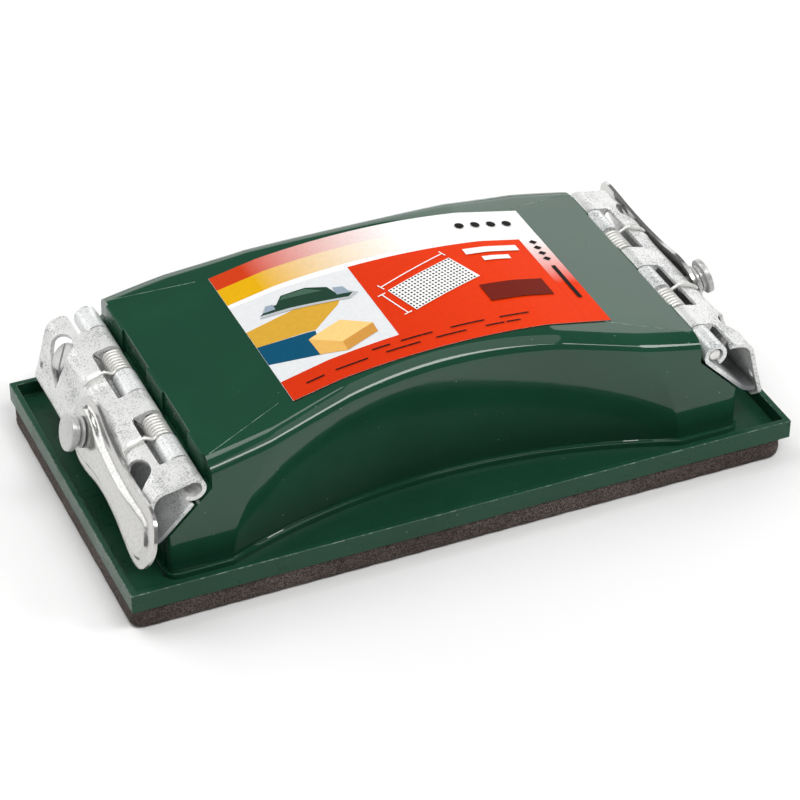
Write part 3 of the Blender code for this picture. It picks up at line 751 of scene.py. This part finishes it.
def label_print():
    """Everything printed on the label, as (colour name, outline) from the bottom layer up."""
    x0, x1, y0, y1 = LABEL
    areas = [("white", rectangle(x0, x1, y0, y1)),
             ("red", rectangle(x0, 12.0, 19.6, y1)),
             ("yellow", rectangle(x0, 10.0, 12.9, 19.6)),
             ("pale", [(x0, 11.6), (x0, -19.4), (-8.2, -18.7), (-8.2, 10.7)]),
             ("ochre", [(x0, 1.2), (x0, -5.2), (-24.0, -7.6), (-16.0, -1.5), (-12.6, 3.0)]),
             ("blue", [(x0, -5.2), (x0, -12.4), (-26.0, -16.6), (-24.2, -7.8)]),
             ("orange", rectangle(-8.2, 36.4, y0, 11.2)),
             ("orange", [(x0, y0), (-8.2, y0), (-8.2, -18.7), (x0, -19.5)]),
             ("orange_fade", rectangle(36.4, x1, y0, 12.5))]
    areas.extend(picture())
    areas.extend(paper_sheet())
    areas.append(("white", rectangle(20.0, 34.0, 5.9, 8.3)))
    areas.append(("white", rectangle(23.2, 30.2, 2.4, 4.2)))
    areas.append(("brick_and_edge_shadow", rectangle(17.2, 33.4, -14.4, -7.3)))
    for row, first in ((-21.4, -16.0), (-23.7, -33.0)):
        for dash, size in enumerate((4.4, 6.2, 2.6, 5.4, 3.2, 7.0, 2.2, 4.8, 3.6)):
            start = first + 6.2 * dash + 0.9 * (dash % 2)
            if start + size < 31.0:
                areas.append(("ink", rectangle(start, start + min(size, 5.2), row, row + 0.42)))
    for dot in range(4):
        y = 9.4 - 2.6 * dot
        areas.append(("ink", [(38.2, y), (39.3, y - 0.9), (40.4, y), (39.3, y + 0.9)]))
        areas.append(("ink", disc(24.0 + 4.2 * dot, 18.7, 1.15, 28)))
    areas.append(("ink", rectangle(38.7, 39.8, -16.5, -1.8)))
    return areas


def picture():
    """The block standing on a board, and a smaller block of wood."""
    return [("wood_top", [(-26.8, -10.0), (-17.8, -7.0), (-11.6, -11.6), (-20.4, -14.8)]),
            ("wood_front", [(-26.8, -10.0), (-20.4, -14.8), (-20.6, -18.3), (-26.6, -16.4)]),
            ("wood_side", [(-20.4, -14.8), (-11.6, -11.6), (-11.9, -15.2), (-20.6, -18.3)]),
            ("shadow", [(-33.2, 3.6), (-12.4, -0.6), (-9.8, 0.9), (-12.9, 3.6), (-31.0, 6.6)]),
            ("green", [(-32.8, 4.5), (-12.5, 0.2), (-11.0, 1.4), (-29.5, 6.3)]),
            ("green", [(-28.8, 5.3), (-14.4, 2.0), (-15.6, 6.0), (-20.2, 8.3), (-26.2, 8.4)]),
            ("green_light", [(-27.0, 7.0), (-17.0, 5.2), (-20.4, 7.9), (-26.0, 8.0)]),
            ("grey", [(-14.7, 2.1), (-11.6, 1.5), (-12.2, 4.4), (-14.6, 5.2)]),
            ("grey", [(-31.6, 4.9), (-29.0, 4.6), (-28.9, 6.6), (-30.6, 7.0)])]


def paper_sheet():
    """The dotted sheet of paper between its two size lines."""
    sheet = [(-3.6, -1.9), (15.4, 5.8), (19.2, -3.6), (-0.6, -11.6)]
    corner = Vector(sheet[0])
    along_x, along_y = Vector(sheet[1]) - corner, Vector(sheet[3]) - corner
    areas = [("white", sheet)]
    for row in range(10):
        for column in range(20):
            centre = corner + along_x * ((column + 0.5) / 20) + along_y * ((row + 0.5) / 10)
            areas.append(("ink", disc(centre.x, centre.y, 0.30, 6)))
    for a, b in (((-4.6, -0.1), (14.6, 7.9)), ((-5.6, -2.9), (-2.9, -12.0))):
        areas.append(("white", stroke(a, b, 0.32)))
        tick = (Vector(b) - Vector(a)).orthogonal().normalized() * 1.1
        areas.extend(("white", stroke(Vector(end) - tick, Vector(end) + tick, 0.32)) for end in (a, b))
    return areas


def label():
    """Sticker with plain coloured areas and simple diagrams, free of any text."""
    white = srgb(*INKS["white"])
    fades = {"red": ("X", -30.0, 9.0, white), "yellow": ("X", -29.0, 9.0, white),
             "orange": ("X", -20.0, 30.0, srgb(*INKS["orange_fade"])),
             "orange_fade": ("Y", -9.0, 12.0, white)}
    order = list(INKS)
    rings = []
    for x in STATIONS:
        z = label_height(x)
        near, far = skewed(x, LABEL[2]), skewed(x, LABEL[3])
        rings.append([(x, near, z), (x, far, z), (x, far, z + 0.16), (x, near, z + 0.16)])
    work = bmesh.new()
    work.from_mesh(loft("sticker", rings))
    # Side walls facing -Y take the dark brick ink: a painted shadow line along the sticker's near edge.
    for face in work.faces:
        face.material_index = order.index("brick_and_edge_shadow" if face.normal.y < -0.5 else "white")
    for layer, (colour, outline) in enumerate(label_print()):
        before = len(work.faces)
        work.from_mesh(print_area(outline, 0.165 + 0.012 * min(layer, 24)))
        for face in list(work.faces)[before:]:
            face.material_index = order.index(colour)
            if face.normal.z < 0:
                face.normal_flip()
    mesh = saved(work, "sticker_print")
    for name in order:
        mesh.materials.append(printed(f"print_{name}", srgb(*INKS[name]), fades.get(name)))
    mesh.shade_smooth()
    mesh.set_sharp_from_angle(angle=math.radians(40.0))
    piece("sticker", mesh, "block", ("label",))


# Clamps

def facing(angle):
    """Unit X-Z direction at an angle from +X towards +Z."""
    return Vector((math.cos(math.radians(angle)), math.sin(math.radians(angle))))


class Bend:
    """A path of arcs and lines in the X-Z plane, measured along its length."""

    def __init__(self, outward):
        self.parts = []
        self.length = 0.0
        self.outward = outward

    def arc(self, centre, radius, start, end):
        size = math.radians(abs(end - start)) * radius
        self.parts.append((self.length, size, "arc", Vector(centre), radius, start, end))
        self.length += size
        self.point = Vector(centre) + facing(end) * radius
        self.heading = Vector((-facing(end).y, facing(end).x)) * (1 if end > start else -1)

    def line(self, size):
        self.parts.append((self.length, size, "line", self.point.copy(), self.heading.copy(), 0.0, 0.0))
        self.length += size
        self.point = self.point + self.heading * size

    def at(self, s):
        """Point and outer normal at a distance along the path."""
        chosen = self.parts[0]
        for part in self.parts:
            if s >= part[0]:
                chosen = part
        begin, size, kind, a, b, start, end = chosen
        share = (s - begin) / size
        if kind == "arc":
            angle = start + (end - start) * share
            return a + facing(angle) * b, facing(angle)
        point = a + b * (s - begin)
        return point, Vector((-b.y, b.x)) * self.outward


def slab(stations, step_y):
    """Flat sheet in millimetres along X = distance on the path, ready to be cut and bent."""
    rows = int(round(2.0 * HALF_CLAMP / step_y))
    ys = [HALF_CLAMP * (2.0 * row / rows - 1.0) for row in range(rows + 1)]
    rings = [[(s, y, -SHEET / 2) for y in ys] + [(s, y, SHEET / 2) for y in reversed(ys)] for s in stations]
    return loft("slab", rings, unit=1.0)


def cut_holes(sheet, outlines):
    """Cut these outlines through a flat sheet, with a small chamfer at both faces."""
    half = SHEET / 2
    levels = ((-half - 0.3, CHAMFER + 0.3), (CHAMFER - half, 0.0), (half - CHAMFER, 0.0),
              (half + 0.3, CHAMFER + 0.3))
    cutters = []
    for outline in outlines:
        corners = [Vector(point) for point in outline]
        ahead = corners[1:] + corners[:1]
        turn = 1.0 if sum(a.x * b.y - b.x * a.y for a, b in zip(corners, ahead)) > 0 else -1.0
        normals = []
        for before, here, after in zip(corners[-1:] + corners[:-1], corners, ahead):
            total = -((here - before).normalized() + (after - here).normalized()).orthogonal()
            normals.append(total.normalized() * turn / max(0.5, total.length / 2))
        rings = [[(*(point + normal * grow), w) for point, normal in zip(corners, normals)]
                 for w, grow in levels]
        cutters.append(loft("cutter", rings, unit=1.0))
    return boolean(sheet, merged(cutters))


def rounded_slot(s1, y0, y1, radius=0.5):
    """Slot in the flat sheet's curled end, with its two inner corners rounded at s1."""
    return ([(-2.0, y0)] + arc_points(s1 - radius, y0 + radius, radius, -90.0, 0.0, 4)
            + arc_points(s1 - radius, y1 - radius, radius, 0.0, 90.0, 4) + [(-2.0, y1)])


def end_notch(s1, y1, radius=1.5):
    """Notch at the sheet's far end that leaves its outer corner rounded."""
    edge = -HALF_CLAMP
    return ([(-2.0, edge - 2.0), (s1 + radius, edge - 2.0)]
            + arc_points(s1 + radius, edge + radius, radius, 270.0, 180.0, 6)
            + arc_points(s1 - 0.5, y1 - 0.5, 0.5, 0.0, 90.0, 4) + [(-2.0, y1)])


def bent(mesh, path, shape=None):
    """Wrap a flat sheet round a path; shape(s, y) adds an offset along the outer normal."""
    for vertex in mesh.vertices:
        s, y, away = vertex.co
        s = min(max(s, 0.0), path.length)
        point, normal = path.at(s)
        if shape:
            away += shape(s, y)
        vertex.co = Vector((point.x + normal.x * away, y, point.y + normal.y * away)) * MM
    mesh.update()
    return mesh


def spaced(breaks, steps):
    """Stations along a path: between each pair of breaks, the given number of steps."""
    out = []
    for a, b, count in zip(breaks, breaks[1:], steps):
        out.extend(a + (b - a) * k / count for k in range(count))
    return out + [breaks[-1]]


def jaw_bend_centre():
    """Centre of the bend that runs tangentially from the jaw's top into its face."""
    lift, face = facing(JAW_LIFT), facing(FACE_TILT)
    over = Vector((PIN_X, PIN_Z)).dot(lift) + CURL_RADIUS - JAW_BEND
    out = Vector((PIVOT_X, PIVOT_Z)).dot(face) - JAW_BEND
    cross = lift.x * face.y - lift.y * face.x
    return Vector(((over * face.y - out * lift.y) / cross, (out * lift.x - over * face.x) / cross))


def jaw_curve():
    path = Bend(1)
    path.arc((PIN_X, PIN_Z), CURL_RADIUS, 320.0, JAW_LIFT)
    centre = jaw_bend_centre()
    target = centre + facing(JAW_LIFT) * JAW_BEND
    path.line((target - path.point).length)
    path.arc(centre, JAW_BEND, JAW_LIFT, FACE_TILT)
    path.line(JAW_FACE)
    hook = path.point - facing(FACE_TILT) * HOOK_RADIUS
    path.arc(hook, HOOK_RADIUS, FACE_TILT, -60.0)
    path.line(0.75)
    return path


def knuckles(first, last):
    return -HALF_CLAMP + PITCH * first, -HALF_CLAMP + PITCH * (last + 1)


def distance_to_curl(path, x):
    """Distance along the jaw at which its top plate reaches x."""
    low, high = path.parts[1][0], path.parts[3][0]
    for _ in range(40):
        middle = (low + high) / 2
        if path.at(middle)[0].x < x:
            low = middle
        else:
            high = middle
    return low


def teardrop(s, y, lean, radius=4.75, tail=7.7):
    """Round hole whose tail points down the jaw's face and leans towards the middle."""
    return arc_points(s, y, radius, 58.0, 302.0, 28) + [
        (s + tail - 0.35, y + lean - 0.3), (s + tail, y + lean), (s + tail - 0.35, y + lean + 0.3)]


def jaw_mesh():
    """Jaw sheet: cut flat, then curled, bent and hooked, with pressed grooves for the springs."""
    path = jaw_curve()
    end = path.length
    curl_end, bend_start, face_start, hook_start = (path.parts[index][0] for index in (1, 2, 3, 4))
    stations = spaced([0.0, curl_end, bend_start, face_start, hook_start, hook_start + 2.09, end],
                      [26, 15, 12, 26, 8, 2])
    window = distance_to_curl(path, WINDOW_X)
    hole_s = face_start + 0.3
    outlines = [end_notch(window, knuckles(0, 0)[1] + CLEAR), disc(pivot_station(path), 0.0, PIVOT_HOLE, 24),
                disc(hook_start - 3.6, -34.2, 0.95, 14)]
    for first, last in ((2, 3), (5, 6)):
        low, high = knuckles(first, last)
        outlines.append(rounded_slot(window, low - CLEAR, high + CLEAR))
    for side in (-1, 1):
        outlines.append(teardrop(hole_s, side * SCREW_Y, -2.4 * side))
        outlines.append([(end - 3.0, side * (HALF_CLAMP + 1.0)), (end + 1.0, side * (HALF_CLAMP + 1.0)),
                         (end + 1.0, side * (HALF_CLAMP - 2.5))])
    legs = [knuckles(k, k)[1] - LEG_INSET for k in SPRING_KNUCKLES]
    groove_end = distance_to_curl(path, GROOVE_END_X)

    def hump(distance, reach):
        return math.exp(-(distance / reach) ** 2)

    def shape(s, y):
        pressed = 0.0
        groove = smooth(s, window - 1.5, window + 0.8) * (1.0 - smooth(s, groove_end - 0.3, groove_end + 1.6))
        for leg in legs:
            pressed += groove * (0.16 * hump(abs(y - leg) - 2.0, 0.8) - 0.62 * hump(y - leg, 0.85))
        for sign in (1, -1):
            centre = math.hypot(s - hole_s, y - sign * SCREW_Y)
            pressed += 0.20 * hump(centre - 5.2, 0.7) * smooth(s, bend_start - 3.0, bend_start)
        sag = smooth(abs(y), 24.0, 12.0) * (1.0 - smooth(s, face_start, face_start + 4.0))
        wave = math.sin(0.35 * y + 0.4 * s)
        return pressed + (0.05 * wave - 0.35 * sag) * smooth(s, curl_end, bend_start)

    return bent(cut_holes(slab(stations, 0.65), outlines), path, shape)


def pivot_station(path):
    """Distance along the jaw's face at the rivet."""
    start = path.parts[3][0]
    point, _ = path.at(start)
    return start + (Vector((PIVOT_X, PIVOT_Z)) - point).length


def fixed_plate_mesh():
    """Plate on the shoulder: three curled knuckles, straight slope, level lip."""
    path = Bend(-1)
    path.arc((PIN_X, PIN_Z), CURL_RADIUS, -65.0, 225.0)
    curl = path.length
    path.line(PLATE_SLOPE)
    path.arc(path.point + facing(45.0) * LIP_RADIUS, LIP_RADIUS, 225.0, 270.0)
    path.line(0.5)
    lip = curl + PLATE_SLOPE
    stations = spaced([0.0, curl, lip, lip + 3.93, path.length], [30, 14, 8, 1])
    outlines = []
    for first, last in ((1, 2), (4, 5), (7, 7)):
        low, high = knuckles(first, last)
        outlines.append(rounded_slot(curl + 3.0, low - CLEAR, high + (2.0 if last == 7 else CLEAR)))
    return bent(cut_holes(slab(stations, 1.3), outlines), path)


def spring_mesh(knuckle):
    """Torsion spring: hidden stub, close coils, and a leg lying in the jaw's groove."""
    low, high = knuckles(knuckle, knuckle)
    wire, coil = 0.43, 2.38
    start_y, end_y = low + 0.75, high - 1.0
    start, turned_by, steps = 250.0, 2372.0, 154       # degrees; the last turn ends under the window's edge
    stub = facing(start)
    path = []
    for reach in (4.2, 3.0, 1.8, 0.8):
        path.append((PIN_X + coil * stub.x - reach * stub.y, start_y, PIN_Z + coil * stub.y + reach * stub.x))
    for step in range(steps + 1):
        share = step / steps
        spot = facing(start - turned_by * share) * coil
        path.append((PIN_X + spot.x, start_y + (end_y - start_y) * share, PIN_Z + spot.y))
    curve = jaw_curve()
    for leg_x, lift in ((67.35, -0.35), (67.95, 0.05), (68.5, 0.55), (69.05, 0.92), (69.7, 0.82),
                        (70.4, 0.62), (71.2, 0.55), (72.0, 0.52), (72.8, 0.5), (73.5, 0.46)):
        point, normal = curve.at(distance_to_curl(curve, leg_x))
        spot = point + normal * lift
        path.append((spot.x, high - LEG_INSET, spot.y))
    return tube("spring", path, wire)


def lever_axes():
    """Directions along the lever, across it and out of the jaw's face."""
    face = facing(FACE_TILT)
    return Vector((0.0, 1.0, 0.0)), Vector((-face.y, 0.0, face.x)), Vector((face.x, 0.0, face.y))


# The lever's outline: distance along it from the rivet, lower edge, upper edge
LEVER_OUTLINE = (
    (-8.2, 0.0, 0.0), (-7.3, -3.8, 3.8), (-5.2, -6.4, 6.4), (-2.0, -7.9, 7.9),
    (1.5, -8.1, 8.1), (5.0, -7.8, 7.5), (9.0, -7.1, 6.5), (13.0, -6.7, 5.8),
    (18.0, -6.8, 5.2), (24.0, -7.5, 4.9), (30.0, -8.8, 4.95), (35.0, -9.8, 5.25),
    (39.0, -9.7, 5.1), (42.0, -8.2, 3.7), (44.0, -5.3, 0.9), (44.85, -2.2, -2.2),
)


def lever_edges(u):
    """Lower and upper edge of the lever at u."""
    return [catmull([(row[0], row[edge]) for row in LEVER_OUTLINE], u) for edge in (1, 2)]


def eased(low, high, steps):
    """Values from low to high, closer together towards both ends."""
    return [low + (high - low) * 0.5 * (1.0 - math.cos(math.pi * step / steps)) for step in range(steps + 1)]


def catmull(knots, u):
    """Smooth value through knots, with the round ends taken as circles' square roots."""
    last = len(knots) - 2
    index = next((k for k in range(last) if u <= knots[k + 1][0]), last)
    (x1, y1), (x2, y2) = knots[index], knots[index + 1]
    t = min(max((u - x1) / (x2 - x1), 0.0), 1.0)
    if index == 0:
        return y1 + (y2 - y1) * math.sqrt(t)
    if index == last:
        return y2 + (y1 - y2) * math.sqrt(1.0 - t)
    (x0, y0), (x3, y3) = knots[index - 1], knots[index + 2]
    m1 = (y2 - y0) / (x2 - x0) * (x2 - x1)
    m2 = (y3 - y1) / (x3 - x1) * (x2 - x1)
    return ((2 * t ** 3 - 3 * t * t + 1) * y1 + (t ** 3 - 2 * t * t + t) * m1
            + (3 * t * t - 2 * t ** 3) * y2 + (t ** 3 - t * t) * m2)


def lever_mesh():
    """Pressed lever: flat rim round a raised dished web, both faces following the pressing."""
    along_u, across, outward = lever_axes()
    columns, rows = 120, 44
    us = eased(LEVER_OUTLINE[0][0], LEVER_OUTLINE[-1][0], columns)
    border = np.array([(u, v) for u in us for v in lever_edges(u)])
    rings = []
    for u in us:
        low, high = lever_edges(u)
        front, rear = [], []
        for v in eased(low, high, rows):
            depth = float(np.sqrt(((border - (u, v)) ** 2).sum(1)).min())
            width = 1.5 + 1.9 * smooth(v - (low + high) / 2, -1.0, 3.0) * smooth(u, 2.0, 12.0)
            tip = 1.0 - 0.25 * smooth(u, 33.0, 41.0)
            dish = 0.22 * smooth(depth, 3.0, 5.5) * smooth(abs(u), 6.0, 12.0)
            lip = 0.12 * (1.0 - smooth(depth, 0.0, 0.55))
            outer = LEVER_SHEET + 1.25 * smooth(depth, 1.7, 1.7 + width) * tip - dish - lip
            inner = max(0.0, 1.15 * smooth(depth, 2.4, 2.4 + width) * tip - dish)
            point = PIVOT + along_u * u + across * v + outward * LEVER_BACK
            front.append(point + outward * outer)
            rear.append(point + outward * inner)
        rings.append(front + rear[::-1])
    lever = cleaned(loft("lever", rings), 0.02, 0.01)
    return boolean(lever, turned("hole", PIVOT, outward, ((-1.0, PIVOT_HOLE), (9.0, PIVOT_HOLE)), 28))


def washer_mesh():
    """Flat washer with eased edges, between the lever and the rivet's collar."""
    low, high = WASHER_FOOT, WASHER_FOOT + WASHER
    profile = ((low, PIVOT_HOLE), (low, 3.55), (low + 0.12, 3.7), (high - 0.12, 3.7), (high, 3.55),
               (high, PIVOT_HOLE))
    return turned("washer", PIVOT, lever_axes()[2], profile, 48, closed=True)


def rivet_mesh():
    """Rivet with a soft upset end, a shank, a collar and a slightly domed head."""
    back = -SHEET / 2 - RIVET_GAP
    collar = WASHER_FOOT + WASHER + RIVET_GAP
    head = collar + 0.9
    top = head + 1.6
    profile = (
        (back - 0.95, 0.5), (back - 0.9, 1.6), (back - 0.7, 2.5), (back - 0.35, 3.0), (back - 0.1, 3.1),
        (back, 3.0), (back, 1.9), (collar, 1.9), (collar, 3.1), (collar + 0.15, 3.3), (head - 0.05, 3.3),
        (head, 3.35), (head, 4.15), (head + 0.1, 4.33), (head + 0.3, 4.4), (top - 0.42, 4.4),
        (top - 0.2, 4.33), (top - 0.08, 4.12), (top - 0.05, 3.8), (top - 0.02, 2.4), (top, 0.6))
    return turned("rivet", PIVOT, lever_axes()[2], profile, 64)


def screw_mesh():
    """Slotted screw standing up from the fixed plate."""
    normal = Vector((1.0, 0.0, 1.0)).normalized()
    seat = Vector((SCREW_X, -SCREW_Y, SCREW_Z)) + normal * 0.3
    head, top = 5.0, 6.6
    profile = ((-9.8, 0.6), (-8.3, 1.6), (head, 1.6), (head, 3.4), (head + 0.12, 3.5), (top - 0.45, 3.5),
               (top - 0.2, 3.42), (top - 0.08, 3.2), (top, 2.6), (top + 0.03, 1.2), (top + 0.04, 0.3))
    slot_along = (Vector((1.0, 0.0, -1.0)).normalized() + Vector((0.0, 1.0, 0.0))).normalized()
    half = normal.cross(slot_along) * 0.36
    rings = []
    for reach in (-5.0, 5.0):
        middle = seat + normal * top + slot_along * reach
        floor, mouth = middle - normal * 0.8, middle + normal
        rings.append([floor - half, floor + half, mouth + half * 1.15, mouth - half * 1.15])
    return boolean(turned("screw", seat, normal, profile), loft("slot", rings))


def clamps():
    """Both clamps, from one set of meshes."""
    sheet_look = zinc("zinc_sheet", (0.34, 0.35, 0.35), (0.80, 0.805, 0.79))
    # The shoulder plate is painted darker below 21.5 mm: painted shade where it lies in the jaw's shadow.
    plate_look = zinc("zinc_plate", (0.38, 0.40, 0.41), (0.86, 0.87, 0.865), shaded_below=21.5)
    head_look = zinc("rivet_steel", (0.40, 0.40, 0.39), (0.56, 0.56, 0.55), 1900.0, (0.24, 0.36))
    lever_look = brushed("lever_steel", (0.64, 0.635, 0.62), 0.18, (40.0, 7.0, 40.0))
    wire_look = spring_wire()
    pin_profile = ((0.0, 1.05), (0.12, 1.3), (0.35, 1.45), (67.65, 1.45), (67.88, 1.3), (68.0, 1.05))
    pin = turned("pin", (PIN_X, -36.2, PIN_Z), (0.0, 1.0, 0.0), pin_profile, 32)
    coil_a, coil_b = (spring_mesh(knuckle) for knuckle in SPRING_KNUCKLES)
    parts = (
        ("jaw_sheet", jaw_mesh(), sheet_look, "jaw", "jaw_body", "zinc_plate", 30.0),
        ("shoulder_plate", fixed_plate_mesh(), plate_look, "fixed_plate", "", "zinc_plate", 30.0),
        ("pin", pin, wire_look, "hinge_pin", "", "bright_steel", 40.0),
        ("coil_a", coil_a, wire_look, "spring_a", "jaw_body", "bright_steel", 60.0),
        ("coil_b", coil_b, wire_look, "spring_b", "jaw_body", "bright_steel", 60.0),
        ("lever_pressing", lever_mesh(), lever_look, "lever", "lever_body", "bright_steel", 42.0),
        ("washer", washer_mesh(), head_look, "lever_washer", "lever_body", "zinc_plate", 40.0),
        ("rivet", rivet_mesh(), head_look, "lever_rivet", "jaw_body", "bright_steel", 40.0),
        ("screw", screw_mesh(), head_look, "plate_screw", "", "bright_steel", 40.0),
    )
    pivot = Matrix.Translation(PIVOT * MM)
    raised = pivot @ Matrix.Rotation(math.radians(RIGHT_LEVER_RAISED), 4, lever_axes()[2]) @ pivot.inverted()
    for side, turn in (("right", 0.0), ("left", math.pi)):
        for name, mesh, look, node, body, slot, sharp in parts:
            copy = mesh.copy()
            if (side, name) == ("right", "lever_pressing"):
                copy.transform(raised)
            copy.transform(Matrix.Rotation(turn, 4, "Z"))
            riding = f"{side}_{body}" if body else "block"
            piece(f"{side}_{name}", finished(copy, look, sharp), riding, (f"{side}_{node}",))


# Camera, lights

def camera():
    """Camera looking down from the near left."""
    azimuth, elevation, roll = math.radians(-24.133), math.radians(36.0), math.radians(0.5872)
    distance, across, upward, focal = 716.23, 0.628, 4.3705, 135.016
    back = Vector((math.sin(azimuth) * math.cos(elevation), -math.cos(azimuth) * math.cos(elevation),
                   math.sin(elevation)))
    right = Vector((0.0, 0.0, 1.0)).cross(back).normalized()
    level = back.cross(right)
    side = right * math.cos(roll) + level * math.sin(roll)
    up = level * math.cos(roll) - right * math.sin(roll)
    place = (side * across + up * upward + back * distance + Vector((0.0, 0.0, SOLE_Z))) * MM
    data = bpy.data.cameras.new("view")
    data.sensor_width = 36.0
    data.lens = focal
    data.clip_start = 0.01
    made = added("view", data)
    made.matrix_world = Matrix.Translation(place) @ Matrix((side, up, back)).transposed().to_4x4()
    bpy.context.scene.camera = made


def soft_light(name, place, aim_z, size_x, size_y, power):
    """Rectangular studio light aimed at a point above the origin."""
    data = bpy.data.lights.new(name, "AREA")
    data.shape = "RECTANGLE"
    data.size, data.size_y = size_x, size_y
    data.energy = power
    made = added(name, data)
    made.location = place
    made.rotation_euler = (Vector((0.0, 0.0, aim_z)) - Vector(place)).to_track_quat("-Z", "Y").to_euler()


def studio():
    """Pale floor, dim surroundings and large soft lights."""
    look = Look("floor_paper", (0.95, 0.95, 0.945), 0.8)
    look.colour(look.ramp(look.noise(3.0), ((0.3, (0.94, 0.94, 0.935)), (0.7, (0.96, 0.96, 0.955)))))
    side = 6000.0
    corners = [(-side, -side, 0.0), (side, -side, 0.0), (side, side, 0.0), (-side, side, 0.0)]
    mesh = mesh_from("floor", corners, [range(4)])
    mesh.materials.append(look.made)
    floor = added("floor", mesh)
    world = bpy.data.worlds.new("studio")
    world.use_nodes = True
    background = world.node_tree.nodes["Background"]
    background.inputs["Color"].default_value = (1.0, 1.0, 1.0, 1.0)
    background.inputs["Strength"].default_value = 0.10
    bpy.context.scene.world = world
    bpy.context.scene.view_settings.view_transform = "Standard"
    soft_light("main_softbox", (-0.40, 0.42, 0.98), 0.03, 0.75, 0.75, 5.6)
    soft_light("ceiling_panel", (0.28, -0.10, 1.05), 0.04, 0.95, 0.62, 1.8)
    soft_light("edge_strip_left", (0.14, -0.58, 1.01), 0.04, 0.60, 0.28, 4.8)
    soft_light("edge_strip_right", (0.72, -0.48, 0.82), 0.04, 0.34, 0.28, 2.8)
    soft_light("backdrop", (0.62, 1.2, 0.41), 0.03, 2.2, 0.64, 6.0)
    soft_light("left_card", (-1.0, 1.0, 0.42), 0.03, 1.2, 0.66, 4.4)
    soft_light("front_fill", (-0.45, -0.85, 1.0), 0.03, 1.2, 0.7, 1.4)


def main():
    camera()
    studio()
    foam_pad(foam_rubber())
    # The tray's rim edge band: wear chips plus a faint painted edge highlight.
    base_tray(green_plastic("green_tray", 0.30, 0.24, True))
    handle_shell(green_plastic("green_moulding", 0.06, 0.5))
    end_ribs(green_plastic("green_ribs", 0.24, 0.16))
    # The crease ridges are coloured pale green: a painted highlight along the top's crease lines.
    crease_highlight_look = Look("painted_crease_highlight", srgb(120, 150, 132), 0.4)
    stops = ((0.4, srgb(52, 96, 76)), (0.6, srgb(150, 176, 160)))
    crease_highlight_look.colour(crease_highlight_look.ramp(crease_highlight_look.noise(300.0), stops))
    crease_lines(crease_highlight_look.made)
    label()
    clamps()


main()
